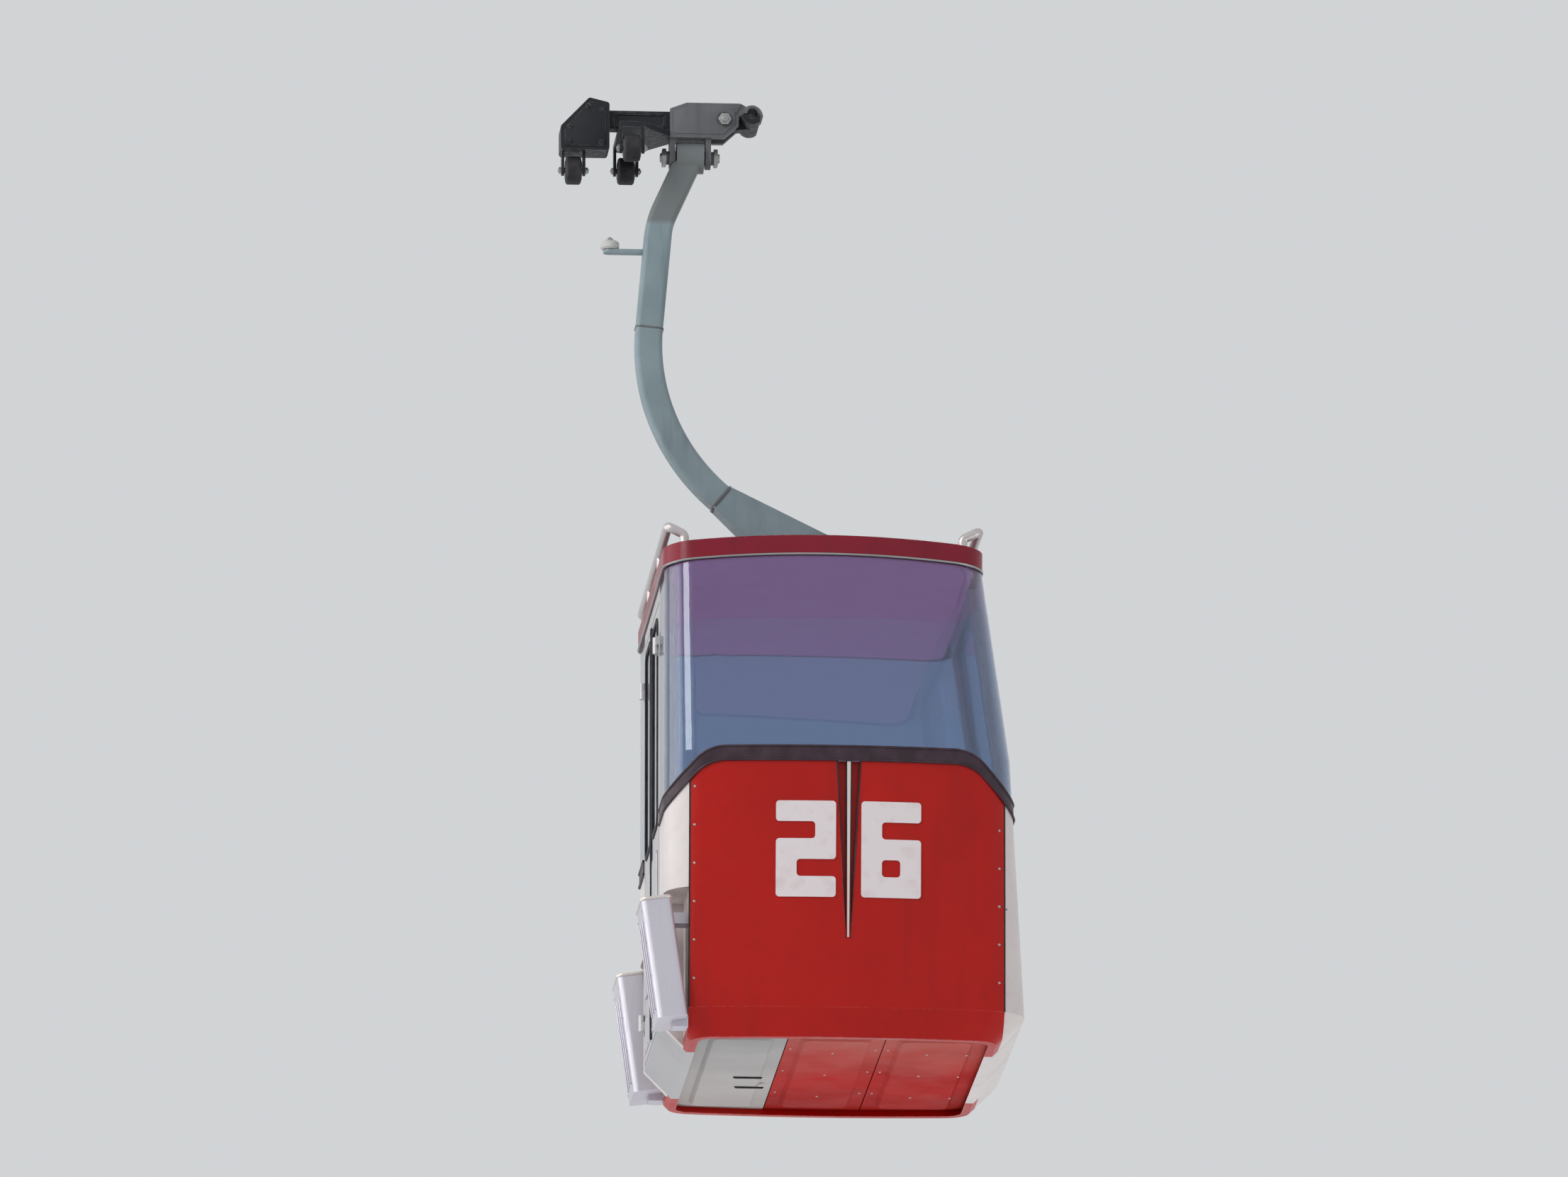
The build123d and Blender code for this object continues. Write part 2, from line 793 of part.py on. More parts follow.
# Grip body: two side plates with the lever between them, a web, two ears with the hanger pin,
# and the fixed jaw over the rope
ear_outer = pivot_x - eye_width / 2 - side_gap - ear_thickness
ear_inner = pivot_x + eye_width / 2 + side_gap + ear_thickness
jaw_radius = rope_radius + jaw_wall
plate_thickness = plate_outer - plate_inner
with BuildPart() as grip_body:
    for side in (-1, 1):
        with BuildSketch(Plane.XZ.offset(side * (plate_inner + plate_outer) / 2)):
            with BuildLine():
                Polyline(
                    (ear_outer, web_bottom),
                    (ear_outer, plate_outer_top),
                    (plate_shoulder, jaw_radius + plate_crown),
                    (-jaw_radius, jaw_radius + plate_crown),
                    (-rope_radius, jaw_radius - plate_crown),
                    (-rope_radius - plate_crown, plate_crown),
                    (-jaw_radius - plate_crown, plate_crown - jaw_radius),
                    (lever_pin[0], web_bottom),
                    close=True,
                )
            make_face()
        extrude(amount=plate_thickness / 2, both=True)
    add(block((ear_outer, ear_inner), (-plate_outer, plate_outer), (web_bottom, web_top)))
    for edge in (ear_outer, ear_inner - ear_thickness):
        add(block((edge, edge + ear_thickness), (-ear_radius, ear_radius), (pivot_z, web_top)))
        with Locations(Plane(origin=(edge, 0, pivot_z), z_dir=(1, 0, 0))):
            Cylinder(ear_radius, ear_thickness, align=stand)
    with Locations(Plane(origin=((ear_outer + ear_inner) / 2, 0, pivot_z), z_dir=(1, 0, 0))):
        Cylinder(pin_radius, ear_inner - ear_outer + 2 * pin_end)
    with Locations(Plane(origin=(lever_pin[0], 0, lever_pin[1]), z_dir=(0, 1, 0))):
        Cylinder(lever_pin_radius, 2 * plate_outer + pin_end)
    with BuildSketch(Plane.XY):
        with BuildLine():
            Polyline(
                (0, -jaw_half_length),
                (jaw_radius - jaw_taper, -jaw_half_length),
                (jaw_radius, -plate_outer),
                (jaw_radius, plate_outer),
                (jaw_radius - jaw_taper, jaw_half_length),
                (0, jaw_half_length),
                close=True,
            )
        make_face()
    revolve(axis=Axis.Y)
    # Room for the movable jaw below
    add(
        block((-jaw_radius - jaw_gap, jaw_radius), (-jaw_half_length, jaw_half_length), (-far, 0)),
        mode=Mode.SUBTRACT,
    )
    with Locations(Plane(origin=(0, 0, 0), z_dir=(0, 1, 0))):
        Cylinder(rope_radius, 4 * jaw_half_length, mode=Mode.SUBTRACT)
finish(grip_body.part, "grip_body")

# Closing lever: a two-armed lever on the pin, its short end the movable jaw under the rope
lever_height = lever_top - lever_bottom
lever_middle = (lever_top + lever_bottom) / 2
with BuildPart() as closing_lever:
    with BuildSketch(Plane.XZ):
        with Locations(((head_inner_x + lever_pin[0]) / 2, lever_middle)):
            Rectangle(lever_pin[0] - head_inner_x, lever_height)
        with Locations(lever_pin):
            Circle(lever_boss_radius)
        with BuildLine():
            Polyline(
                (lever_pin[0], lever_pin[1] + lever_boss_radius),
                (-jaw_radius - jaw_gap, -jaw_gap),
                (0, -jaw_gap),
                (0, -jaw_radius),
                (lever_pin[0], lever_pin[1] - lever_boss_radius),
                close=True,
            )
        make_face()
        Circle(jaw_radius)
        with Locations((0, jaw_radius - jaw_gap)):
            Rectangle(4 * jaw_radius, 2 * jaw_radius, mode=Mode.SUBTRACT)
        with Locations((jaw_radius + jaw_lip, 0)):
            Rectangle(2 * jaw_radius, 4 * jaw_radius, mode=Mode.SUBTRACT)
        with Locations(((head_inner_x + lever_pin[0]) / 2, lever_middle)):
            Rectangle(lever_pin[0] - head_inner_x, lever_height)
        with Locations(lever_pin):
            Circle(lever_boss_radius)
    extrude(amount=lever_half, both=True)
    with BuildSketch(Plane.XZ):
        Circle(jaw_radius)
        with Locations((0, jaw_radius - jaw_gap)):
            Rectangle(4 * jaw_radius, 2 * jaw_radius, mode=Mode.SUBTRACT)
        with Locations((jaw_radius + jaw_lip, 0)):
            Rectangle(2 * jaw_radius, 4 * jaw_radius, mode=Mode.SUBTRACT)
    extrude(amount=jaw_half_length, both=True)
    with Locations(Plane(origin=(0, 0, 0), z_dir=(0, 1, 0))):
        Cylinder(rope_radius, 4 * jaw_half_length, mode=Mode.SUBTRACT)
    with Locations(Plane(origin=(lever_pin[0], 0, lever_pin[1]), z_dir=(0, 1, 0))):
        Cylinder(lever_pin_radius + running_fit, 4 * lever_half, mode=Mode.SUBTRACT)
finish(closing_lever.part, "closing_lever")

# Lever head with the fork of the lever roller
roller_side = roller_width / 2 + wheel_gap
with BuildPart() as lever_head:
    with BuildSketch(Plane.XZ):
        with BuildLine():
            FilletPolyline(
                (head_inner_x, head_bottom),
                (head_inner_x, head_shoulder),
                (head_peak_x, head_peak),
                (head_outer_x, lever_bottom),
                (head_outer_x, head_bottom),
                close=True,
                radius=head_round,
            )
        make_face()
    extrude(amount=head_half, both=True)
    for edge in (roller_x - roller_side - lug_thickness, roller_x + roller_side):
        add(block((edge, edge + lug_thickness), (-lug_half, lug_half), (roller_z, head_bottom)))
        with Locations(Plane(origin=(edge, 0, roller_z), z_dir=(1, 0, 0))):
            Cylinder(lug_half, lug_thickness, align=stand)
    with Locations(Plane(origin=(roller_x, 0, roller_z), z_dir=(1, 0, 0))):
        Cylinder(axle_radius, 2 * roller_side + 2 * lug_thickness)
finish(lever_head.part, "lever_head")

with BuildPart() as lever_roller:
    with Locations(Plane(origin=(roller_x, 0, roller_z), z_dir=(1, 0, 0))):
        Cylinder(roller_radius, roller_width)
        chamfer(lever_roller.edges().filter_by(GeomType.CIRCLE), roller_chamfer)
        Cylinder(axle_radius + running_fit, 2 * roller_width, mode=Mode.SUBTRACT)
finish(lever_roller.part, "lever_roller")

# Wheel frame beside the grip, with the lugs and axles of the two running wheels
wheel_side = wheel_width / 2 + wheel_gap
frame_end = wheel_x - wheel_side - lug_thickness
with BuildPart() as wheel_frame:
    with BuildSketch(Plane.XY.offset(web_bottom)):
        with BuildLine():
            Polyline(
                (ear_outer, -plate_outer),
                (ear_outer, plate_outer),
                (wheel_x + wheel_side + lug_thickness, wheel_y + lug_half),
                (frame_end, wheel_y + lug_half),
                (frame_end, -wheel_y - lug_half),
                (wheel_x + wheel_side + lug_thickness, -wheel_y - lug_half),
                close=True,
            )
        make_face()
    extrude(amount=frame_plate)
    for side in (-1, 1):
        for edge in (frame_end, wheel_x + wheel_side):
            add(block(
                (edge, edge + lug_thickness),
                (side * wheel_y - lug_half, side * wheel_y + lug_half),
                (wheel_z, web_bottom),
            ))
            with Locations(Plane(origin=(edge, side * wheel_y, wheel_z), z_dir=(1, 0, 0))):
                Cylinder(lug_half, lug_thickness, align=stand)
        with Locations(Plane(origin=(wheel_x, side * wheel_y, wheel_z), z_dir=(1, 0, 0))):
            Cylinder(axle_radius, 2 * wheel_side + 2 * lug_thickness)
finish(wheel_frame.part, "wheel_frame")

for name, side in ends:
    with BuildPart() as running_wheel:
        with Locations(Plane(origin=(wheel_x, side * wheel_y, wheel_z), z_dir=(1, 0, 0))):
            Cylinder(wheel_radius, wheel_width)
            chamfer(running_wheel.edges().filter_by(GeomType.CIRCLE), roller_chamfer)
            Cylinder(axle_radius + running_fit, 2 * wheel_width, mode=Mode.SUBTRACT)
    finish(running_wheel.part, f"running_wheel_{name}")
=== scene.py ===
import json
import math

import bpy
from mathutils import Matrix, Vector


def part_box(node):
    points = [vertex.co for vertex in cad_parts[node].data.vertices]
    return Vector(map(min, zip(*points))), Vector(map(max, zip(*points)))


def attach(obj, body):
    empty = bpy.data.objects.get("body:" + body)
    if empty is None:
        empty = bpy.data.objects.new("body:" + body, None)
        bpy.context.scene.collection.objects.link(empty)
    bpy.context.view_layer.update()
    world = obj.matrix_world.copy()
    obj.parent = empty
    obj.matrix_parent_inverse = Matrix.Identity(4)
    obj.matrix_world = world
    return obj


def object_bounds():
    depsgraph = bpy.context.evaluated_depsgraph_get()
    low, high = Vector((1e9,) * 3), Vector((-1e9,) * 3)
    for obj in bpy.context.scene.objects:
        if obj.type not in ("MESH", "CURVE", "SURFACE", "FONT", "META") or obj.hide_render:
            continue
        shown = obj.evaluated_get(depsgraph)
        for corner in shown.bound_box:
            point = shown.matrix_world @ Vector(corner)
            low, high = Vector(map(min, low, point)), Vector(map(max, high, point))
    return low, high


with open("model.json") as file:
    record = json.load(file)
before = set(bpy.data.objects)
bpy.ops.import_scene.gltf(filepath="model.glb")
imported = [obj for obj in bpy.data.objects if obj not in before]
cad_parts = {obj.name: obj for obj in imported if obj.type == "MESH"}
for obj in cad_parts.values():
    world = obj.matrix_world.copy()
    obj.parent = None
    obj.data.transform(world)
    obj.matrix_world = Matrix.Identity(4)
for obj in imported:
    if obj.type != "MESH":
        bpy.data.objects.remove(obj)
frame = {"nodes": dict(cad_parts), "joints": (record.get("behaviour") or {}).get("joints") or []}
cad_low, cad_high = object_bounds()
nodes = frame["nodes"]
bpy.ops.object.select_all(action="DESELECT")

# Metres. The rope runs along Y through the origin, +Z is up, -X is the door side, -Y the front end
FRONT = -1
REAR = 1
ENDS = ((FRONT, "front"), (REAR, "rear"))

# Camera at the photograph's viewing angle, just above the floor and looking up
VIEW_AZIMUTH = math.radians(-4.3)
VIEW_ELEVATION = math.radians(-13.5)
VIEW_DISTANCE = 73
SENSOR = 36
FRAME_WIDTH = 5.75
EYE_HEIGHT = 1.5

center = (cad_low + cad_high) / 2
camera_back = Vector((
    math.sin(VIEW_AZIMUTH) * math.cos(VIEW_ELEVATION),
    -math.cos(VIEW_AZIMUTH) * math.cos(VIEW_ELEVATION),
    math.sin(VIEW_ELEVATION),
))
camera_place = center + camera_back * VIEW_DISTANCE
floor_height = camera_place.z - EYE_HEIGHT
bpy.ops.object.camera_add(location=camera_place)
camera = bpy.context.object
camera.rotation_mode = "QUATERNION"
camera.rotation_quaternion = (-camera_back).to_track_quat("-Z", "Y")
camera.data.sensor_width = SENSOR
camera.data.lens = SENSOR * VIEW_DISTANCE / FRAME_WIDTH
camera.data.clip_end = 1000
bpy.context.scene.camera = camera
bpy.context.scene.view_settings.view_transform = "Standard"


# Materials

def new_material(name, **constants):
    """A material whose shader has these values on its own sockets."""
    material = bpy.data.materials.new(name)
    material.use_nodes = True
    shader = material.node_tree.nodes["Principled BSDF"]
    for socket, value in constants.items():
        shader.inputs[socket.replace("_", " ")].default_value = value
    return material


def add_node(material, kind, inputs=None, **settings):
    """A node with its settings, and its inputs given as values or as other nodes' outputs."""
    tree = material.node_tree
    made = tree.nodes.new(kind)
    for key, value in settings.items():
        setattr(made, key, value)
    for socket, value in (inputs or {}).items():
        if isinstance(value, bpy.types.NodeSocket):
            tree.links.new(value, made.inputs[socket])
        else:
            made.inputs[socket].default_value = value
    return made


def to_shader(material, socket, output):
    """Feed an output into the shader."""
    shader = material.node_tree.nodes["Principled BSDF"]
    material.node_tree.links.new(output, shader.inputs[socket])


def object_place(material, stretch=(1, 1, 1)):
    """Object coordinates, stretched along the axes."""
    place = add_node(material, "ShaderNodeTexCoord").outputs["Object"]
    return add_node(material, "ShaderNodeMapping", {"Vector": place, "Scale": stretch}).outputs["Vector"]


def noise(material, scale, detail=4, stretch=(1, 1, 1)):
    """Noise from 0 to 1 at so many cells a metre."""
    place = object_place(material, stretch)
    settings = {"Vector": place, "Scale": scale, "Detail": detail}
    return add_node(material, "ShaderNodeTexNoise", settings).outputs["Fac"]


def spread(material, value, low, high, to_low, to_high):
    """Map the range low to high onto another one, clamped."""
    return add_node(
        material, "ShaderNodeMapRange",
        {"Value": value, "From Min": low, "From Max": high, "To Min": to_low, "To Max": to_high},
    ).outputs["Result"]


# Places of a Mix node's sockets when it mixes colours
MIX_SHARE = 0
MIX_FIRST = 6
MIX_SECOND = 7
MIX_RESULT = 2


def blend_colors(material, share, first, second):
    """Mix two colours, each a value or an output."""
    mixer = add_node(material, "ShaderNodeMix", data_type="RGBA")
    tree = material.node_tree
    for index, value in ((MIX_SHARE, share), (MIX_FIRST, first), (MIX_SECOND, second)):
        if isinstance(value, bpy.types.NodeSocket):
            tree.links.new(value, mixer.inputs[index])
        else:
            mixer.inputs[index].default_value = value if index == MIX_SHARE else (*value, 1)
    return mixer.outputs[MIX_RESULT]


def multiply(material, first, second):
    """The product of two numbers."""
    product = add_node(material, "ShaderNodeMath", operation="MULTIPLY")
    for index, value in enumerate((first, second)):
        if isinstance(value, bpy.types.NodeSocket):
            material.node_tree.links.new(value, product.inputs[index])
        else:
            product.inputs[index].default_value = value
    return product.outputs[0]


def worn_edges(material, radius):
    """1 along sharp edges, broken up by noise, and 0 elsewhere."""
    rounded = add_node(material, "ShaderNodeBevel", {"Radius": radius}, samples=4).outputs["Normal"]
    plain = add_node(material, "ShaderNodeNewGeometry").outputs["Normal"]
    likeness = add_node(material, "ShaderNodeVectorMath", operation="DOT_PRODUCT")
    material.node_tree.links.new(rounded, likeness.inputs[0])
    material.node_tree.links.new(plain, likeness.inputs[1])
    edge = spread(material, likeness.outputs["Value"], 0.995, 0.9, 0, 1)
    return multiply(material, edge, spread(material, noise(material, 55, 6), 0.42, 0.62, 0, 1))


def bump(material, height, strength, distance):
    """Relief from a height."""
    relief = add_node(
        material, "ShaderNodeBump", {"Height": height, "Strength": strength, "Distance": distance}
    ).outputs["Normal"]
    to_shader(material, "Normal", relief)


def gelcoat(name, color, shade, grime, grime_share=0.35, gloss=(0.28, 0.40)):
    """Glossy paint on laminate: slow shifts of tone, rain streaks, dust and a slight ripple."""
    material = new_material(name, IOR=1.45, Specular_IOR_Level=0.28, Coat_Weight=0.08, Coat_Roughness=0.1)
    tone = spread(material, noise(material, 2.2, 3), 0.3, 0.7, 0, 1)
    base = blend_colors(material, tone, color, shade)
    streaks = spread(material, noise(material, 11, 5, (1, 1, 0.06)), 0.55, 0.8, 0, grime_share)
    dust = spread(material, noise(material, 24, 8), 0.5, 0.85, 0, grime_share * 0.5)
    base = blend_colors(material, streaks, base, grime)
    base = blend_colors(material, dust, base, grime)
    chips = worn_edges(material, 0.006)
    pale = tuple(min(1, 0.35 + 0.6 * value) for value in color)
    to_shader(material, "Base Color", blend_colors(material, multiply(material, chips, 0.35), base, pale))
    to_shader(material, "Roughness", spread(material, noise(material, 9, 3), 0.3, 0.75, *gloss))
    bump(material, noise(material, 6, 2), 0.06, 0.003)
    return material


def painted_steel(name, color, shade, bare, roughness=(0.35, 0.6), wear=0.004):
    """Paint on steel that has chipped along its edges."""
    material = new_material(name, IOR=1.45, Specular_IOR_Level=0.4)
    tone = spread(material, noise(material, 5, 5), 0.3, 0.7, 0, 1)
    base = blend_colors(material, tone, color, shade)
    streaks = spread(material, noise(material, 24, 4, (1, 1, 0.12)), 0.55, 0.8, 0, 0.45)
    base = blend_colors(material, streaks, base, tuple(0.45 * value for value in shade))
    chips = worn_edges(material, wear)
    to_shader(material, "Base Color", blend_colors(material, chips, base, bare))
    to_shader(material, "Metallic", multiply(material, chips, 0.8))
    to_shader(material, "Roughness", spread(material, noise(material, 60, 4), 0.3, 0.7, *roughness))
    bump(material, noise(material, 160, 3), 0.1, 0.002)
    return material


def metal(name, color, shade, brush=(1, 1, 1), roughness=(0.28, 0.5), metallic=0.85):
    """Bare metal with brushed or cast grain, a slow shift of tone and a little grime."""
    material = new_material(name, Metallic=metallic, IOR=1.6)
    tone = spread(material, noise(material, 1.8, 2), 0.3, 0.72, 0, 0.6)
    base = blend_colors(material, tone, color, shade)
    scratches = noise(material, 90, 4, brush)
    base = blend_colors(material, spread(material, scratches, 0.5, 0.75, 0, 0.3), base, shade)
    grime = spread(material, noise(material, 7, 9, (1, 1, 0.25)), 0.6, 0.85, 0, 0.35)
    base = blend_colors(material, grime, base, tuple(0.45 * value for value in shade))
    to_shader(material, "Base Color", base)
    to_shader(material, "Roughness", spread(material, scratches, 0.3, 0.7, *roughness))
    bump(material, scratches, 0.05, 0.0005)
    return material


def rubber(name, color, shade, roughness=(0.55, 0.8)):
    """Rubber with a dusty bloom."""
    material = new_material(name, IOR=1.45)
    bloom = spread(material, noise(material, 18, 7), 0.4, 0.75, 0, 1)
    to_shader(material, "Base Color", blend_colors(material, bloom, color, shade))
    to_shader(material, "Roughness", spread(material, noise(material, 40, 4), 0.3, 0.7, *roughness))
    bump(material, noise(material, 300, 3), 0.15, 0.001)
    return material


def place_along(material, axis):
    """The place along an axis, in metres, as an output."""
    place = add_node(material, "ShaderNodeTexCoord").outputs["Object"]
    return add_node(material, "ShaderNodeSeparateXYZ", {"Vector": place}).outputs[axis]


def soiled_underside_with_painted_light(name, color, shade, front_dust_and_painted_light, dark):
    """Laminate seen from below: towards the front end dust and painted light, a paler painted reflection on
    the red pans and a grey painted shade on the white tray; dark towards the rear, smooth in between.
    """
    material = new_material(name, IOR=1.45, Specular_IOR_Level=0.12)
    drift = spread(material, noise(material, 3, 4), 0.2, 0.8, -0.22, 0.22)
    place = add_node(material, "ShaderNodeMath", operation="ADD")
    material.node_tree.links.new(place_along(material, "Y"), place.inputs[0])
    material.node_tree.links.new(drift, place.inputs[1])
    tone = spread(material, noise(material, 2.5, 3), 0.35, 0.65, 0, 1)
    base = blend_colors(material, tone, color, shade)
    # Towards the front end: dust, with a painted reflection on the red pans and a painted shade on the white
    # tray
    base = blend_colors(material, spread(material, place.outputs[0], -0.62, 0.05, 0.6, 0), base, front_dust_and_painted_light)
    base = blend_colors(material, spread(material, place.outputs[0], 0.15, 0.85, 0, 0.6), base, dark)
    splashes = spread(material, noise(material, 40, 6), 0.6, 0.8, 0, 0.3)
    to_shader(material, "Base Color", blend_colors(material, splashes, base, dark))
    to_shader(material, "Roughness", spread(material, noise(material, 8, 5), 0.3, 0.75, 0.5, 0.7))
    bump(material, noise(material, 9, 2), 0.1, 0.003)
    return material


def tinted_glazing(name, color, alpha):
    """Blue-tinted acrylic with fine wiping marks."""
    material = new_material(
        name, Base_Color=(*color, 1), Transmission_Weight=1, IOR=1.5, Alpha=alpha, Coat_Weight=0.4
    )
    marks = noise(material, 12, 2, (1, 1, 0.35))
    to_shader(material, "Roughness", spread(material, marks, 0.35, 0.8, 0.02, 0.05))
    return material


red_gelcoat = gelcoat("red_gelcoat", (0.48, 0.007, 0.003), (0.41, 0.005, 0.002), (0.20, 0.010, 0.007))
# Paler towards the front end: dust with a painted reflection
underside_red = soiled_underside_with_painted_light(
    "underside_red", (0.47, 0.010, 0.008), (0.39, 0.008, 0.006), (0.50, 0.16, 0.13), (0.15, 0.010, 0.006)
)
white_gelcoat = gelcoat("white_gelcoat", (0.76, 0.70, 0.67), (0.66, 0.59, 0.57), (0.36, 0.30, 0.27))
# Greyer towards the front end: dust with a painted shade
underside_white = soiled_underside_with_painted_light(
    "underside_white", (0.50, 0.47, 0.46), (0.44, 0.41, 0.40), (0.30, 0.31, 0.32), (0.38, 0.33, 0.30)
)
cherry_gelcoat = gelcoat("cherry_gelcoat", (0.25, 0.010, 0.026), (0.18, 0.008, 0.020), (0.10, 0.012, 0.018))
lining = gelcoat("pink_lining", (0.82, 0.30, 0.46), (0.74, 0.24, 0.40), (0.55, 0.2, 0.3), 0.2, (0.45, 0.65))
# The lining is given a glow of painted light: it lights itself, though it is no lamp, to brighten the
# cabin's inside
LINING_PAINTED_LIGHT_COLOR = (0.90, 0.34, 0.70)
LINING_PAINTED_LIGHT_STRENGTH = 0.30
lining_shader = lining.node_tree.nodes["Principled BSDF"]
lining_shader.inputs["Emission Color"].default_value = (*LINING_PAINTED_LIGHT_COLOR, 1)
lining_shader.inputs["Emission Strength"].default_value = LINING_PAINTED_LIGHT_STRENGTH
glazing = tinted_glazing("tinted_acrylic", (0.27, 0.37, 0.55), 0.82)
door_glazing = tinted_glazing("door_acrylic", (0.32, 0.40, 0.54), 0.80)
grey_paint = painted_steel("grey_hanger_paint", (0.25, 0.32, 0.34), (0.20, 0.26, 0.28), (0.42, 0.42, 0.42))
arm_paint = painted_steel("upper_arm_paint", (0.25, 0.32, 0.34), (0.20, 0.26, 0.28), (0.42, 0.42, 0.42))
# The upper arm is greyer above its bend
ARM_PAINT_EDGE = -0.405
ARM_PAINT_FADE = 0.01
arm_shader = arm_paint.node_tree.nodes["Principled BSDF"]
arm_color = arm_shader.inputs["Base Color"].links[0].from_socket
arm_fade = (ARM_PAINT_EDGE - ARM_PAINT_FADE, ARM_PAINT_EDGE + ARM_PAINT_FADE)
arm_share = spread(arm_paint, place_along(arm_paint, "Z"), *arm_fade, 0, 0.8)
to_shader(arm_paint, "Base Color", blend_colors(arm_paint, arm_share, arm_color, (0.16, 0.165, 0.16)))
dark_paint = painted_steel("dark_grip_paint", (0.016, 0.019, 0.025), (0.01, 0.011, 0.014), (0.22, 0.2, 0.18))
grip_paint = painted_steel("grey_grip_paint", (0.15, 0.155, 0.16), (0.10, 0.105, 0.11), (0.3, 0.28, 0.26))
aluminium = metal("satin_aluminium", (0.56, 0.55, 0.56), (0.47, 0.46, 0.47), (1, 1, 0.05), (0.40, 0.5), 0.5)
rail_metal = metal("rail_aluminium", (0.66, 0.61, 0.60), (0.48, 0.43, 0.43), (1, 0.04, 1), (0.3, 0.5), 0.7)
quiver_metal = metal(
    "quiver_aluminium", (0.70, 0.67, 0.73), (0.54, 0.52, 0.58), (1, 1, 0.05), (0.35, 0.55), 0.7
)
zinc = metal("zinc_bolt", (0.45, 0.45, 0.44), (0.28, 0.27, 0.26))
# Bright metal for the quivers' rims, and for the strip down the end panels' ridge, where its brightness is a
# painted highlight
trim_and_highlight_metal = metal("trim_and_highlight_metal", (0.78, 0.72, 0.67), (0.66, 0.56, 0.52), (1, 1, 0.05), (0.3, 0.45), 0.5)
# Black rubber for seals, buffers, gaskets and wheels; on the tray's louvres it is painted shade
black_rubber = rubber("black_rubber", (0.014, 0.012, 0.016), (0.04, 0.036, 0.038))
seal_rubber = rubber("seal_rubber", (0.030, 0.013, 0.022), (0.060, 0.030, 0.044), (0.35, 0.55))
roller_lining = rubber("pale_roller_lining", (0.58, 0.58, 0.54), (0.42, 0.41, 0.38))
bench_shell = rubber("bench_shell", (0.14, 0.16, 0.22), (0.20, 0.22, 0.28), (0.4, 0.6))

number_paint = new_material("number_paint", IOR=1.5)
number_wear = spread(number_paint, noise(number_paint, 16, 8), 0.5, 0.8, 0, 0.45)
number_color = blend_colors(number_paint, number_wear, (0.80, 0.72, 0.72), (0.6, 0.42, 0.42))
to_shader(number_paint, "Base Color", number_color)
to_shader(number_paint, "Roughness", spread(number_paint, noise(number_paint, 40, 4), 0.3, 0.7, 0.35, 0.55))

ribbed_mat = new_material("ribbed_mat", IOR=1.45)
ribs = add_node(
    ribbed_mat, "ShaderNodeTexWave", {"Vector": object_place(ribbed_mat), "Scale": 18}, bands_direction="X"
).outputs["Fac"]
mat_dust = spread(ribbed_mat, noise(ribbed_mat, 9, 7), 0.4, 0.75, 0, 1)
mat_color = blend_colors(ribbed_mat, mat_dust, (0.03, 0.03, 0.032), (0.11, 0.10, 0.09))
to_shader(ribbed_mat, "Base Color", mat_color)
to_shader(ribbed_mat, "Roughness", spread(ribbed_mat, mat_dust, 0, 1, 0.55, 0.85))
bump(ribbed_mat, ribs, 0.6, 0.003)

NODE_MATERIALS = {
    red_gelcoat: ["end_panel_front", "end_panel_rear"],
    underside_red: ["floor_pan_middle", "floor_pan_outer"],
    white_gelcoat: ["corner_panel_front", "corner_panel_rear", "side_panel"],
    underside_white: ["floor_tray"],
    cherry_gelcoat: ["roof_shell"],
    lining: ["ceiling"],
    glazing: ["end_window_front", "end_window_rear", "side_window"],
    door_glazing: ["door_window_front", "door_window_rear"],
    arm_paint: ["hanger_head"],
    grey_paint: ["hanger_tube", "hanger_foot", "guide_bracket", "roof_frame"],
    dark_paint: ["closing_lever", "lever_head", "wheel_frame"],
    grip_paint: ["grip_body"],
    aluminium: ["side_window_frame", "door_frame", "door_hinges", "door_leaf_front", "door_leaf_rear"],
    rail_metal: ["roof_rail_left", "roof_rail_right"],
    quiver_metal: ["ski_quiver_front", "ski_quiver_rear"],
    seal_rubber: ["window_seal_front", "window_seal_rear"],
    black_rubber: ["rubber_buffers", "running_wheel_front", "running_wheel_rear", "lever_roller"],
    roller_lining: ["guide_roller"],
    bench_shell: ["bench_front", "bench_rear", "backrest_front", "backrest_rear"],
    ribbed_mat: ["floor_mat"],
}
for material, names in NODE_MATERIALS.items():
    for name in names:
        nodes[name].data.materials.clear()
        nodes[name].data.materials.append(material)


# Studio: a pale floor, a pale world and soft lights
BACKDROP_COLOR = (0.64, 0.655, 0.67)
FLOOR_GLOW_SHARE = 0.75
FLOOR_SIZE = 900
DAYLIGHT_COLOR = (0.93, 0.96, 1)
DAYLIGHT_STRENGTH = 0.62

bpy.ops.mesh.primitive_plane_add(size=FLOOR_SIZE, location=(0, 0, floor_height))
floor = bpy.context.object
floor.name = "studio_floor"
bpy.ops.object.transform_apply(location=True, rotation=False, scale=False)
floor_finish = new_material("studio_floor", Base_Color=(0.80, 0.80, 0.80, 1), Roughness=0.9)
floor.data.materials.append(floor_finish)


def seen_as_backdrop(tree):
    """1 for what the camera sees straight on, mirrored or through glass, and 0 for light on the object."""
    path = tree.nodes.new("ShaderNodeLightPath")
    seen = path.outputs["Is Camera Ray"]
    for kind in ("Is Glossy Ray", "Is Transmission Ray"):
        either = tree.nodes.new("ShaderNodeMath")
        either.operation = "MAXIMUM"
        tree.links.new(seen, either.inputs[0])
        tree.links.new(path.outputs[kind], either.inputs[1])
        seen = either.outputs[0]
    return seen


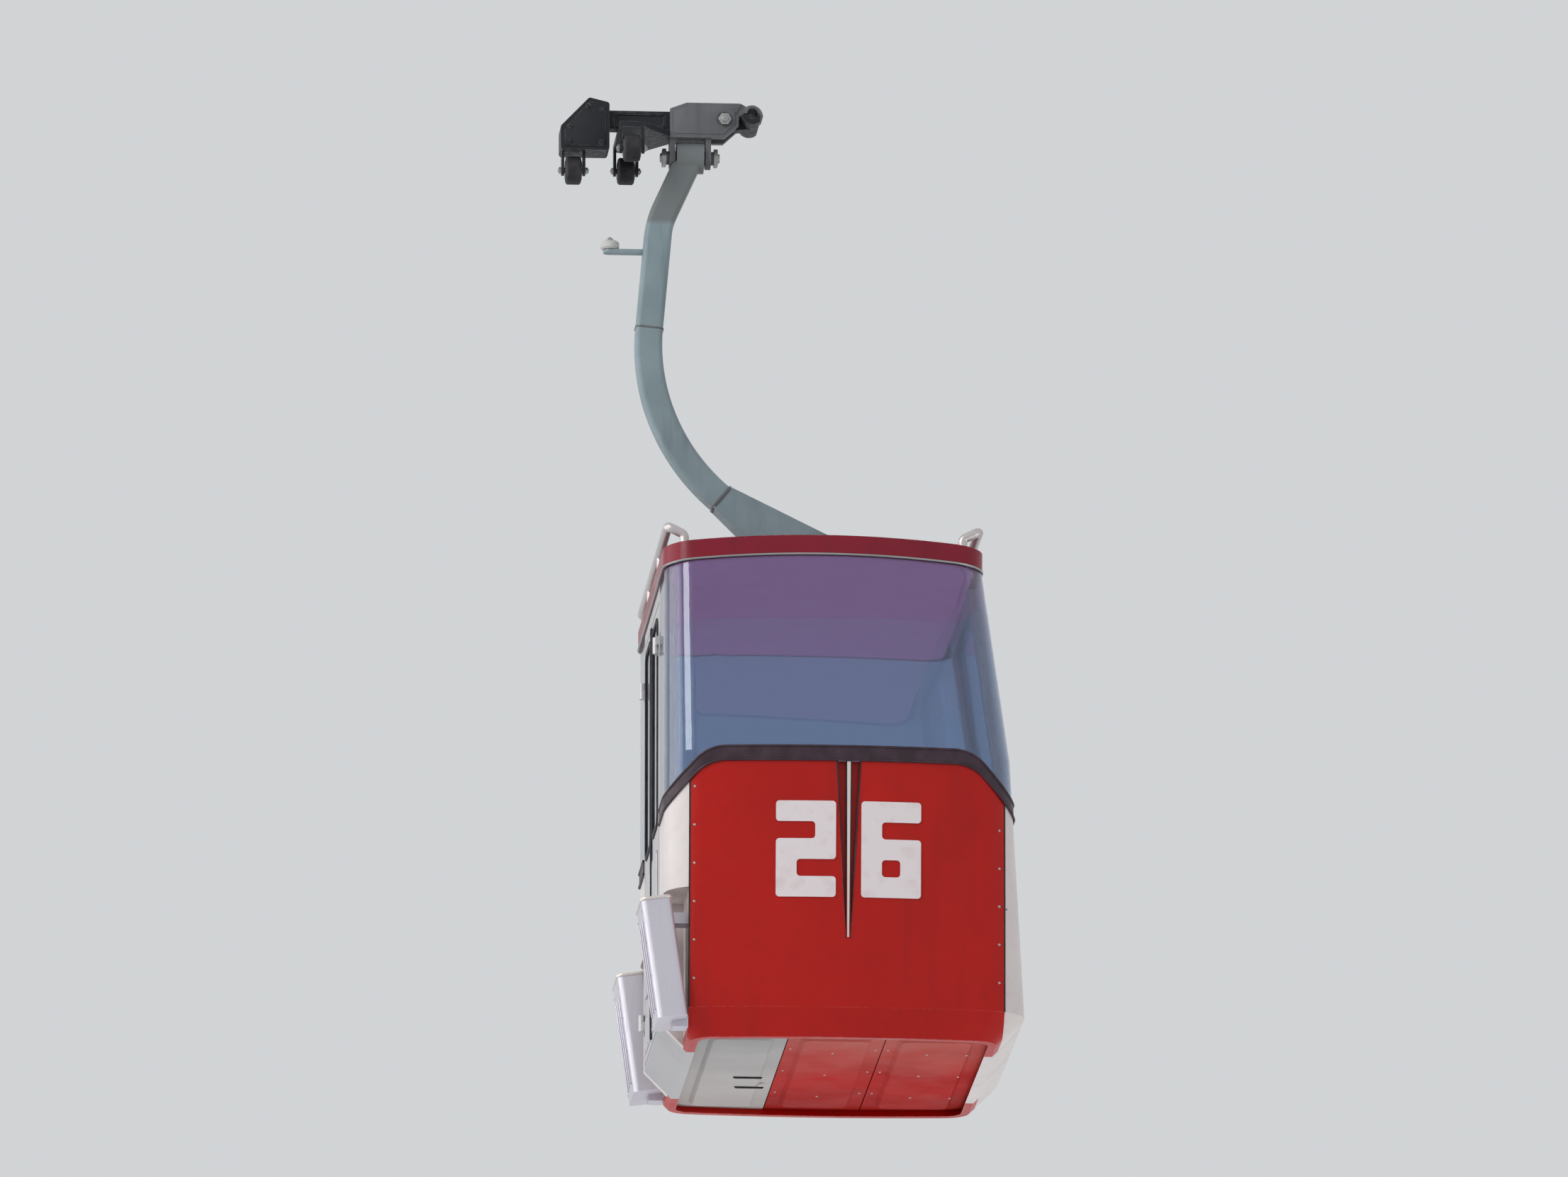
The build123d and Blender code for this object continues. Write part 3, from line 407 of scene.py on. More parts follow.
# The floor glows towards the backdrop's tone and keeps a share of its shadow
floor_glow = add_node(
    floor_finish, "ShaderNodeEmission", {"Color": (*BACKDROP_COLOR, 1), "Strength": 1}
).outputs["Emission"]
floor_seen = multiply(floor_finish, seen_as_backdrop(floor_finish.node_tree), FLOOR_GLOW_SHARE)
floor_nodes = floor_finish.node_tree.nodes
floor_mix = add_node(
    floor_finish, "ShaderNodeMixShader",
    {0: floor_seen, 1: floor_nodes["Principled BSDF"].outputs["BSDF"], 2: floor_glow},
)
floor_surface = floor_nodes["Material Output"].inputs["Surface"]
floor_finish.node_tree.links.new(floor_mix.outputs["Shader"], floor_surface)

world = bpy.data.worlds.new("studio")
bpy.context.scene.world = world
world.use_nodes = True
tree = world.node_tree
tree.nodes.clear()
lighting = tree.nodes.new("ShaderNodeBackground")
lighting.inputs["Color"].default_value = (*DAYLIGHT_COLOR, 1)
lighting.inputs["Strength"].default_value = DAYLIGHT_STRENGTH
backdrop = tree.nodes.new("ShaderNodeBackground")
backdrop.inputs["Color"].default_value = (*BACKDROP_COLOR, 1)
backdrop.inputs["Strength"].default_value = 1
choice = tree.nodes.new("ShaderNodeMixShader")
output = tree.nodes.new("ShaderNodeOutputWorld")
tree.links.new(seen_as_backdrop(tree), choice.inputs[0])
tree.links.new(lighting.outputs[0], choice.inputs[1])
tree.links.new(backdrop.outputs[0], choice.inputs[2])
tree.links.new(choice.outputs[0], output.inputs["Surface"])


def soft_light(name, place, width, height, power):
    """A flat area light that faces the cabin."""
    bpy.ops.object.light_add(type="AREA", location=place)
    lamp = bpy.context.object
    lamp.name = name
    lamp.data.shape = "RECTANGLE"
    lamp.data.size = width
    lamp.data.size_y = height
    lamp.data.energy = power
    lamp.rotation_mode = "QUATERNION"
    lamp.rotation_quaternion = (Vector(place) - center).to_track_quat("Z", "Y")


soft_light("key_light", (-11, -9, 5), 5, 9, 900)
soft_light("side_light", (-13, 1, -2), 13, 13, 700)
soft_light("fill_light", (12, -8, -9), 10, 10, 380)
soft_light("low_light", (1, 3, -14), 9, 9, 420)


# Modelling helpers

def start_edit(kind="FACE"):
    """Edit the active piece with nothing selected."""
    bpy.ops.object.mode_set(mode="EDIT")
    bpy.ops.mesh.select_mode(type=kind)
    bpy.ops.mesh.select_all(action="DESELECT")


def select_faces(piece, wanted):
    """In edit mode, select the faces for which wanted(center, normal) holds."""
    bpy.ops.object.mode_set(mode="OBJECT")
    for face in piece.data.polygons:
        face.select = bool(wanted(face.center, face.normal))
    bpy.ops.object.mode_set(mode="EDIT")


def modify(piece, kind, **settings):
    """Add a modifier and apply it."""
    bpy.context.view_layer.objects.active = piece
    change = piece.modifiers.new(kind.lower(), kind)
    for key, value in settings.items():
        setattr(change, key, value)
    bpy.ops.object.modifier_apply(modifier=change.name)


def apply_place(piece):
    """Put the piece's place into its mesh."""
    bpy.ops.object.select_all(action="DESELECT")
    piece.select_set(True)
    bpy.context.view_layer.objects.active = piece
    bpy.ops.object.transform_apply(location=True, rotation=True, scale=True)


def keep(piece, name, body, material):
    """Name a finished piece, give it its material and let it ride on its body."""
    piece.name = name
    piece.data.name = name
    piece.data.materials.clear()
    piece.data.materials.append(material)
    apply_place(piece)
    bpy.ops.object.shade_smooth_by_angle(angle=SMOOTH_UNDER)
    bpy.ops.object.select_all(action="DESELECT")
    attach(piece, body)
    return piece


def join(pieces):
    """Make one piece of several."""
    bpy.ops.object.select_all(action="DESELECT")
    for piece in pieces:
        piece.select_set(True)
    bpy.context.view_layer.objects.active = pieces[0]
    if len(pieces) > 1:
        bpy.ops.object.join()
    return bpy.context.object


def stand_on(piece, point, normal, along):
    """Turn and move a piece made on the XY plane: its +Z along the normal, its +X along the other."""
    up = Vector(normal).normalized()
    side = (Vector(along) - Vector(along).dot(up) * up).normalized()
    turn = Matrix((side, up.cross(side), up)).transposed().to_4x4()
    piece.data.transform(Matrix.Translation(Vector(point)) @ turn)
    return piece


def twin_of(pattern):
    """A copy of a pattern with its own mesh."""
    twin = bpy.data.objects.new(pattern.name, pattern.data.copy())
    bpy.context.scene.collection.objects.link(twin)
    return twin


def drop(*pieces):
    """Delete patterns that have been copied."""
    for piece in pieces:
        bpy.data.objects.remove(piece, do_unlink=True)


def copies(pattern, places, name, body, material):
    """Copies of a pattern that stands on the origin along +Z, each at a point and turned to a direction."""
    made = []
    for point, direction in places:
        along = (0, 0, 1) if abs(Vector(direction).normalized().z) < 0.9 else (0, 1, 0)
        made.append(stand_on(twin_of(pattern), point, direction, along))
    return keep(join(made), name, body, material)


def both_faces(faces, y, z):
    """A place on each of two faces along X, with the direction outwards."""
    return [((x, y, z), (outward, 0, 0)) for x, outward in zip(faces, (-1, 1))]


def on_surface(name, origin, direction):
    """Where a ray from a point first meets a node, and the surface's normal there."""
    hit, point, normal, _index = nodes[name].ray_cast(Vector(origin), Vector(direction).normalized())
    if not hit:
        raise ValueError(f"no surface of {name} from {tuple(origin)}")
    return point, normal


def stepped_disc(radius, height, vertices, steps, base=0):
    """A disc whose top is inset in steps, each a share of its radius and of its height."""
    bpy.ops.mesh.primitive_cylinder_add(
        vertices=vertices, radius=radius, depth=height, location=(0, 0, base + height / 2)
    )
    disc = bpy.context.object
    apply_place(disc)
    start_edit()
    select_faces(disc, lambda center, normal: normal.z > 0.9)
    for inward, upward in steps:
        bpy.ops.mesh.inset(thickness=radius * inward, depth=height * upward)
    bpy.ops.object.mode_set(mode="OBJECT")
    return disc


def hex_bolt(radius, height):
    """A hexagon head with a chamfer on a round washer, standing on the origin."""
    washer_height = height * 0.22
    bpy.ops.mesh.primitive_cylinder_add(
        vertices=20, radius=radius * 1.45, depth=washer_height, location=(0, 0, washer_height / 2)
    )
    washer = bpy.context.object
    modify(washer, "BEVEL", width=washer_height * 0.3, segments=1, limit_method="ANGLE")
    head = stepped_disc(radius, height, 6, ((0.16, 0.12),), washer_height)
    bolt = join([washer, head])
    apply_place(bolt)
    bolt.name = "bolt_pattern"
    return bolt


def nut_on_pin(radius, height, pin_radius):
    """A hexagon nut with its pin's rounded end standing out of it."""
    nut = stepped_disc(radius, height, 6, ((0.14, 0.1),))
    pin_height = height * 1.6
    bpy.ops.mesh.primitive_cylinder_add(
        vertices=20, radius=pin_radius, depth=pin_height, location=(0, 0, pin_height / 2)
    )
    pin = bpy.context.object
    modify(pin, "BEVEL", width=pin_radius * 0.25, segments=2, limit_method="ANGLE")
    made = join([nut, pin])
    apply_place(made)
    made.name = "nut_pattern"
    return made


def rivet(radius):
    """A domed rivet head standing on the origin."""
    bpy.ops.mesh.primitive_uv_sphere_add(segments=12, ring_count=8, radius=radius, location=(0, 0, 0))
    head = bpy.context.object
    start_edit()
    bpy.ops.mesh.select_all(action="SELECT")
    bpy.ops.mesh.bisect(plane_co=(0, 0, 0), plane_no=(0, 0, 1), clear_inner=True, use_fill=True)
    bpy.ops.object.mode_set(mode="OBJECT")
    head.scale = (1, 1, 0.5)
    apply_place(head)
    head.name = "rivet_pattern"
    return head


RING_ROUND_SHARE = 0.4


def rounded_ring(width, height, corner, band, thickness):
    """A ring with round corners on the XY plane, its outer edge at the given size."""
    bpy.ops.mesh.primitive_plane_add(size=1)
    ring = bpy.context.object
    ring.scale = (width, height, 1)
    apply_place(ring)
    modify(ring, "BEVEL", affect="VERTICES", width=corner, segments=8, limit_method="NONE")
    start_edit()
    bpy.ops.mesh.select_all(action="SELECT")
    bpy.ops.mesh.inset(thickness=band)
    bpy.ops.mesh.delete(type="FACE")
    bpy.ops.object.mode_set(mode="OBJECT")
    modify(ring, "SOLIDIFY", thickness=thickness, offset=1)
    modify(ring, "BEVEL", width=min(band, thickness) * RING_ROUND_SHARE, segments=2, limit_method="ANGLE")
    return ring


def rounded_plate(width, height, corner, thickness, edge):
    """A plate with round corners and rounded edges on the XY plane."""
    bpy.ops.mesh.primitive_plane_add(size=1)
    plate = bpy.context.object
    plate.scale = (width, height, 1)
    apply_place(plate)
    modify(plate, "BEVEL", affect="VERTICES", width=corner, segments=6, limit_method="NONE")
    modify(plate, "SOLIDIFY", thickness=thickness, offset=1)
    modify(plate, "BEVEL", width=edge, segments=2, limit_method="ANGLE")
    return plate


def node_skin(name, node, wanted):
    """The faces of a node's surface for which wanted(center, normal) holds."""
    skin = bpy.data.objects.new(name, nodes[node].data.copy())
    bpy.context.scene.collection.objects.link(skin)
    bpy.ops.object.select_all(action="DESELECT")
    skin.select_set(True)
    bpy.context.view_layer.objects.active = skin
    start_edit()
    bpy.ops.mesh.select_all(action="SELECT")
    bpy.ops.mesh.remove_doubles(threshold=MERGE)
    select_faces(skin, lambda center, normal: not wanted(center, normal))
    bpy.ops.mesh.delete(type="FACE")
    bpy.ops.mesh.select_all(action="SELECT")
    bpy.ops.mesh.dissolve_limited(angle_limit=DISSOLVE_UNDER)
    bpy.ops.object.mode_set(mode="OBJECT")
    return skin


def raise_field(skin, margin, height, edge):
    """Turn a flat skin into a raised field: made one face, drawn in by a margin, then thickened outwards."""
    bpy.context.view_layer.objects.active = skin
    start_edit()
    bpy.ops.mesh.select_all(action="SELECT")
    bpy.ops.mesh.dissolve_faces(use_verts=True)
    bpy.ops.mesh.select_all(action="SELECT")
    bpy.ops.mesh.inset(thickness=margin, use_boundary=True)
    bpy.ops.mesh.select_all(action="INVERT")
    bpy.ops.mesh.delete(type="FACE")
    bpy.ops.object.mode_set(mode="OBJECT")
    modify(skin, "SOLIDIFY", thickness=height, offset=1, use_even_offset=True)
    modify(skin, "BEVEL", width=edge, segments=2, limit_method="ANGLE")
    return skin


SMOOTH_UNDER = math.radians(35)
DISSOLVE_UNDER = math.radians(0.5)
MERGE = 0.00002
# On an outer face, the least part of its normal that points away from the cabin's middle
OUTWARD = 0.3
# Starts of rays and projections, outside the part
BEYOND_DOORS = -1.2
FAR_OUT = 2
BEYOND_ENDS = 1.2
BELOW_FLOOR = -4.5


def corners_of(name):
    """The lowest and the highest corner of a node's box."""
    low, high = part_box(name)
    return Vector(low), Vector(high)


def middle_of(name):
    """The middle of a node's box."""
    low, high = corners_of(name)
    return (low + high) / 2


cabin_middle = middle_of("roof_shell")
# Where each body turns on the one that carries it
pivots = {joint["child"]: joint["pos_m"] for joint in frame["joints"]}


def on_outer_wall(place, normal):
    """Whether a surface there stands upright and looks away from the cabin's middle."""
    away = Vector((place.x - cabin_middle.x, place.y - cabin_middle.y, 0)).normalized()
    return normal.dot(away) > OUTWARD and abs(normal.z) < 0.5


def edge_bead(name, node, wanted, radius, body, material):
    """A round bead along the sharp edges of a node for which wanted(middle, normal, other normal) holds."""
    bead = node_skin(name, node, lambda place, normal: True)
    mesh = bead.data
    beside = {}
    for face in mesh.polygons:
        for key in face.edge_keys:
            beside.setdefault(key, []).append(face.normal)
    start_edit("EDGE")
    bpy.ops.object.mode_set(mode="OBJECT")
    for edge in mesh.edges:
        middle = (mesh.vertices[edge.vertices[0]].co + mesh.vertices[edge.vertices[1]].co) / 2
        normals = beside.get(edge.key, [])
        is_wanted = len(normals) == 2 and (wanted(middle, *normals) or wanted(middle, *reversed(normals)))
        edge.select = not is_wanted
    bpy.ops.object.mode_set(mode="EDIT")
    bpy.ops.mesh.delete(type="EDGE")
    bpy.ops.object.mode_set(mode="OBJECT")
    bpy.ops.object.convert(target="CURVE")
    line = bpy.context.object
    line.data.bevel_depth = radius
    line.data.bevel_resolution = 2
    line.data.use_fill_caps = True
    bpy.ops.object.convert(target="MESH")
    return keep(bpy.context.object, name, body, material)


# Number on both end panels: plain block digits on either side of the groove
DIGIT_WIDTH = 0.217
DIGIT_HEIGHT = 0.350
STROKE = 0.075
DIGIT_CORNER = 0.012
DIGIT_GAP = 0.092
# From the panel's top to the number's middle
NUMBER_DROP = 0.325
PAINT = 0.0025
# Cells that each digit leaves bare, by column from the left and row from the bottom
BARE_CELLS = {
    "two": ((1, 1), (2, 1), (0, 3), (1, 3)),
    "six": ((1, 1), (1, 3), (2, 3)),
}

panel_low, panel_high = corners_of("end_panel_front")
panel_middle = (panel_low.x + panel_high.x) / 2


def digit(kind):
    """A block digit standing in the XZ plane about the origin, cut from one plate along its strokes."""
    bpy.ops.mesh.primitive_plane_add(size=1, rotation=(math.pi / 2, 0, 0))
    plate = bpy.context.object
    plate.scale = (DIGIT_WIDTH, DIGIT_HEIGHT, 1)
    bpy.ops.object.transform_apply(location=False, rotation=True, scale=True)
    columns = (-DIGIT_WIDTH / 2 + STROKE, DIGIT_WIDTH / 2 - STROKE)
    rows = (-DIGIT_HEIGHT / 2 + STROKE, -STROKE / 2, STROKE / 2, DIGIT_HEIGHT / 2 - STROKE)
    start_edit()
    for x in columns:
        bpy.ops.mesh.select_all(action="SELECT")
        bpy.ops.mesh.bisect(plane_co=(x, 0, 0), plane_no=(1, 0, 0))
    for z in rows:
        bpy.ops.mesh.select_all(action="SELECT")
        bpy.ops.mesh.bisect(plane_co=(0, 0, z), plane_no=(0, 0, 1))

    def is_bare(face_center, _normal):
        column = sum(face_center.x > x for x in columns)
        row = sum(face_center.z > z for z in rows)
        return (column, row) in BARE_CELLS[kind]

    select_faces(plate, is_bare)
    bpy.ops.mesh.delete(type="FACE")
    bpy.ops.object.mode_set(mode="OBJECT")
    modify(plate, "BEVEL", affect="VERTICES", width=DIGIT_CORNER, segments=3, limit_method="NONE")
    return plate


def lay_on(piece, target, offset):
    """Project a piece along Y onto a node."""
    modify(
        piece, "SHRINKWRAP", target=nodes[target], wrap_method="PROJECT", wrap_mode="ABOVE_SURFACE",
        use_project_y=True, use_negative_direction=True, use_positive_direction=True, offset=offset,
    )


for end, name in ENDS:
    made = []
    for kind, side in (("two", -1), ("six", 1)):
        plate = digit(kind)
        reach = side * (DIGIT_GAP + DIGIT_WIDTH) / 2
        plate.location = (panel_middle - end * reach, end * BEYOND_ENDS, panel_high.z - NUMBER_DROP)
        if end == REAR:
            plate.rotation_euler = (0, 0, math.pi)
        made.append(plate)
    number = join(made)
    apply_place(number)
    modify(number, "TRIANGULATE")
    lay_on(number, f"end_panel_{name}", PAINT)
    modify(number, "SOLIDIFY", thickness=PAINT * 2, offset=0)
    keep(number, f"number_{name}", "cabin", number_paint)


# Bright strip down the ridge between the two grooves, a painted highlight along the ridge's crest
STRIP_WIDTH = 0.013
STRIP_TAPER = 0.5
# From the panel's top to the strip's
STRIP_DROP = 0.005
STRIP_LENGTH = 0.640
STRIP_PROUD = 0.003
STRIP_CUTS = 30

strip_height = panel_high.z - STRIP_DROP - STRIP_LENGTH / 2
for end, name in ENDS:
    bpy.ops.mesh.primitive_plane_add(size=1, rotation=(math.pi / 2, 0, 0))
    strip = bpy.context.object
    strip.scale = (STRIP_WIDTH, STRIP_LENGTH, 1)
    strip.location = (panel_middle, end * BEYOND_ENDS, strip_height)
    apply_place(strip)
    start_edit("VERT")
    bpy.ops.object.mode_set(mode="OBJECT")
    for vertex in strip.data.vertices:
        vertex.select = vertex.co.z < strip_height
    bpy.ops.object.mode_set(mode="EDIT")
    bpy.ops.transform.resize(value=(STRIP_TAPER, 1, 1))
    bpy.ops.mesh.select_all(action="SELECT")
    bpy.ops.mesh.subdivide(number_cuts=STRIP_CUTS)
    bpy.ops.object.mode_set(mode="OBJECT")
    lay_on(strip, f"end_panel_{name}", STRIP_PROUD / 2)
    modify(strip, "SOLIDIFY", thickness=STRIP_PROUD, offset=0)
    keep(strip, f"groove_highlight_strip_{name}", "cabin", trim_and_highlight_metal)


# Rubber lips on the window seals, sealant beside the end panels, and a drip rail under the roof's rim
SEAL_LIP = 0.0045
DRIP_RAIL = 0.004
JOINT_SEALANT = 0.003

for end, name in ENDS:
    for edge, up in (("upper", 1), ("lower", -1)):
        edge_bead(
            f"seal_lip_{edge}_{name}", f"window_seal_{name}",
            lambda place, normal, other: on_outer_wall(place, normal) and other.z * up > 0.5,
            SEAL_LIP, "cabin", seal_rubber,
        )
    edge_bead(
        f"panel_sealant_{name}", f"end_panel_{name}",
        lambda place, normal, other: on_outer_wall(place, normal) and abs(other.x) > 0.9
        and abs(normal.x) < 0.8,
        JOINT_SEALANT, "cabin", black_rubber,
    )
edge_bead(
    "roof_drip_rail", "roof_shell",
    lambda place, normal, other: on_outer_wall(place, normal) and other.z < -0.5,
    DRIP_RAIL, "cabin", zinc,
)


# Doors: gaskets round the glass, a rubber lip where the leaves meet, pressed fields and kick plates
GLASS_CORNER = 0.040
GASKET_BAND = 0.018
GASKET_LAP = 0.010
GASKET_THICKNESS = 0.006
FIELD_SIZE = (0.235, 0.440, 0.030)
KICK_SIZE = (0.285, 0.130, 0.012)
# Middles of the field and of the kick plate above the leaf's lower edge
FIELD_RISE = 0.446
KICK_RISE = 0.096
PLATE_THICKNESS = 0.003
RIVET_RADIUS = 0.005
KICK_RIVET_SIDE = 0.016
KICK_RIVET_EDGE = 0.014

rivet_head = rivet(RIVET_RADIUS)
doors_outside = corners_of("door_window_front")[0].x

for _end, name in ENDS:
    body = f"door_{name}"
    glass = middle_of(f"door_window_{name}")
    glass_low, glass_high = corners_of(f"door_window_{name}")
    leaf_low, leaf_high = corners_of(f"door_leaf_{name}")
    _depth, glass_width, glass_height = glass_high - glass_low
    rings = []
    for x, outward in ((doors_outside, -1), (leaf_high.x, 1)):
        ring = rounded_ring(
            glass_width + 2 * GASKET_LAP, glass_height + 2 * GASKET_LAP, GLASS_CORNER + GASKET_LAP,
            GASKET_BAND, GASKET_THICKNESS,
        )
        stand_on(ring, (x, glass.y, glass.z), (outward, 0, 0), (0, 1, 0))
        rings.append(ring)
    keep(join(rings), f"{body}_gasket", body, black_rubber)

    width, height, corner = FIELD_SIZE
    field = rounded_plate(width, height, corner, 2 * PLATE_THICKNESS, PLATE_THICKNESS)
    stand_on(field, (doors_outside, glass.y, leaf_low.z + FIELD_RISE), (-1, 0, 0), (0, 1, 0))
    keep(field, f"{body}_field", body, aluminium)

    width, height, corner = KICK_SIZE
    kick_height = leaf_low.z + KICK_RISE
    kick_plate = rounded_plate(width, height, corner, PLATE_THICKNESS, PLATE_THICKNESS / 3)
    stand_on(kick_plate, (doors_outside, glass.y, kick_height), (-1, 0, 0), (0, 1, 0))
    keep(kick_plate, f"{body}_kick_plate", body, aluminium)
    places = []
    for across in (-1, 0, 1):
        for up in (-1, 1):
            point = (
                doors_outside - PLATE_THICKNESS,
                glass.y + across * (width / 2 - KICK_RIVET_SIDE),
                kick_height + up * (height / 2 - KICK_RIVET_EDGE),
            )
            places.append((point, (-1, 0, 0)))
    copies(rivet_head, places, f"{body}_rivets", body, zinc)

LIP_WIDTH = 0.018
LIP_THICKNESS = 0.009
LIP_CORNER = 0.004
LIP_EDGE = 0.003
# How far the lip stops short of the leaf's ends, and its middle from the leaf's edge
LIP_SHORT = 0.015
LIP_INSET = 0.007
leaf_low, leaf_high = corners_of("door_leaf_front")
lip_length = leaf_high.z - leaf_low.z - 2 * LIP_SHORT
meeting_lip = rounded_plate(LIP_WIDTH, lip_length, LIP_CORNER, LIP_THICKNESS, LIP_EDGE)
lip_middle = (doors_outside, leaf_high.y - LIP_INSET, (leaf_low.z + leaf_high.z) / 2)
stand_on(meeting_lip, lip_middle, (-1, 0, 0), (0, 1, 0))
keep(meeting_lip, "door_meeting_lip", "door_front", black_rubber)


# Hinge straps on the door frame, with their rivets
STRAP_SIZE = (0.030, 0.085, 0.010)
STRAP_RIVET_REACH = 0.026
# From the hinges' outermost edge to a strap's middle, and half a knuckle's height
STRAP_INSET = 0.005
KNUCKLE_HALF = 0.030

hinges_low, hinges_high = corners_of("door_hinges")
strap_reach = hinges_high.y - STRAP_INSET
straps = []
strap_rivets = []
for side in (FRONT, REAR):
    for height in (hinges_high.z - KNUCKLE_HALF, hinges_low.z + KNUCKLE_HALF):
        point, normal = on_surface("door_frame", (BEYOND_DOORS, side * strap_reach, height), (1, 0, 0))
        strap = rounded_plate(*STRAP_SIZE, PLATE_THICKNESS, PLATE_THICKNESS / 3)
        straps.append(stand_on(strap, point, normal, (0, 1, 0)))
        for up in (-1, 1):
            place = point + normal * PLATE_THICKNESS + Vector((0, 0, up * STRAP_RIVET_REACH))
            strap_rivets.append((place, normal))
keep(join(straps), "hinge_straps", "cabin", aluminium)
copies(rivet_head, strap_rivets, "hinge_strap_rivets", "cabin", zinc)


# Gasket round the side window
# From the window's upper and lower edge to the two points that the gasket is centred between
SIDE_WINDOW_INSET = 0.1
SIDE_WINDOW_CORNER = 0.05
SIDE_GASKET_LAP = 0.002
SIDE_GASKET_BAND = 0.014

low, high = corners_of("side_window")
upper, _normal = on_surface("side_window", (FAR_OUT, 0, high.z - SIDE_WINDOW_INSET), (-1, 0, 0))
lower, normal = on_surface("side_window", (FAR_OUT, 0, low.z + SIDE_WINDOW_INSET), (-1, 0, 0))
# The window is bent near its foot, and the gasket takes the slope below the bend
window_height = (high.z - low.z) / math.cos(math.asin(abs(normal.z)))
gasket = rounded_ring(
    high.y - low.y + 2 * SIDE_GASKET_LAP, window_height + 2 * SIDE_GASKET_LAP, SIDE_WINDOW_CORNER,
    SIDE_GASKET_BAND, GASKET_THICKNESS,
)
stand_on(gasket, (upper + lower) / 2, normal, (0, 1, 0))
keep(gasket, "side_window_gasket", "cabin", black_rubber)


# Roof: bolts of the frame and of the hanger's base plate, flanges under the rails' feet
BOLT_RADIUS = 0.012
BOLT_HEIGHT = 0.010
FRAME_LONG_BARS = (0.015, 0.415)
# From the roof frame's edges to the bolts: across a cross bar, and from its end
CROSS_BAR_HALF = 0.025
CROSS_BAR_END = 0.040
BASE_BOLT_REACH = 0.065
BASE_PLATE = 0.016
RAIL_RADIUS = 0.017
RAIL_FOOT_REACH = 0.700
FLANGE_RADIUS = 0.034
FLANGE_THICKNESS = 0.006

bolt = hex_bolt(BOLT_RADIUS, BOLT_HEIGHT)
low, high = corners_of("roof_frame")
frame_places = []
for side in (FRONT, REAR):
    for x in (*FRAME_LONG_BARS, low.x + CROSS_BAR_END, high.x - CROSS_BAR_END):
        above = (x, side * (high.y - CROSS_BAR_HALF), 0)
        frame_places.append(on_surface("roof_frame", above, (0, 0, -1)))
copies(bolt, frame_places, "roof_frame_bolts", "cabin", zinc)
base_plate_top = corners_of("hanger_foot")[0].z + BASE_PLATE
base_places = []
for side in (FRONT, REAR):
    for x in FRAME_LONG_BARS:
        base_places.append(((x, side * BASE_BOLT_REACH, base_plate_top), (0, 0, 1)))
copies(bolt, base_places, "base_plate_bolts", "cabin", zinc)


def flange(radius, thickness):
    """A round foot plate with a raised collar, standing on the origin."""
    made = stepped_disc(radius, thickness, 28, ((0.25, 0), (0.08, 0.8)))
    modify(made, "BEVEL", width=thickness * 0.2, segments=2, limit_method="ANGLE")
    return made


foot_flange = flange(FLANGE_RADIUS, FLANGE_THICKNESS)
left_foot = corners_of("roof_rail_left")[1].x - RAIL_RADIUS
right_foot = corners_of("roof_rail_right")[0].x + RAIL_RADIUS
foot_places = []
for x in (left_foot, right_foot):
    for side in (FRONT, REAR):
        foot_places.append(on_surface("roof_shell", (x, side * RAIL_FOOT_REACH, 0), (0, 0, -1)))
copies(foot_flange, foot_places, "rail_foot_flanges", "cabin", rail_metal)


# Hanger: collars where its tube is joined, and the guide roller's nut
TUBE_SECTION = (0.100, 0.090)
COLLAR_CORNER = 0.022
COLLAR_BAND = 0.008
# Each collar's middle, the tube's direction there, how far it stands proud and its length
COLLARS = (
    ((-0.374, 0, -0.800), (-0.0896, 0, -0.996), 0.003, 0.007),
    ((-0.113, 0, -1.438), (0.766, 0, -0.643), 0.005, 0.012),
)
# Radius, height and pin radius of each nut
ROLLER_NUT = (0.014, 0.009, 0.007)
LEVER_PIN_NUT = (0.024, 0.012, 0.013)
HANGER_PIN_NUT = (0.036, 0.014, 0.018)
AXLE_NUT = (0.013, 0.007, 0.007)

collars = []
for point, direction, proud, length in COLLARS:
    ring = rounded_ring(
        TUBE_SECTION[0] + 2 * proud, TUBE_SECTION[1] + 2 * proud, COLLAR_CORNER, COLLAR_BAND, length
    )
    collars.append(stand_on(ring, point, direction, (direction[2], 0, -direction[0])))
keep(join(collars), "hanger_collars", "cabin", grip_paint)
roller_nut = nut_on_pin(*ROLLER_NUT)
pin_top = (pivots["guide_roller"][0], 0, corners_of("guide_bracket")[1].z)
copies(roller_nut, [(pin_top, (0, 0, 1))], "guide_roller_nut", "cabin", zinc)


# Grip: raised fields on the cast plates, the pins' nuts and the wheels' hubs
PLATE_OUTSIDE = 0.055
GRIP_FIELD_MARGIN = 0.014
GRIP_FIELD_HEIGHT = 0.003
GRIP_FIELD_EDGE = 0.001
# From the middle of each pin to its nuts
LEVER_PIN_REACH = 0.061
HANGER_PIN_REACH = 0.088

for side, name in ENDS:
    field = node_skin(
        f"grip_field_{name}", "grip_body",
        lambda place, normal: normal.y * side > 0.95 and abs(place.y * side - PLATE_OUTSIDE) < 0.002,
    )
    raise_field(field, GRIP_FIELD_MARGIN, GRIP_FIELD_HEIGHT, GRIP_FIELD_EDGE)
    keep(field, f"grip_field_{name}", "grip", grip_paint)

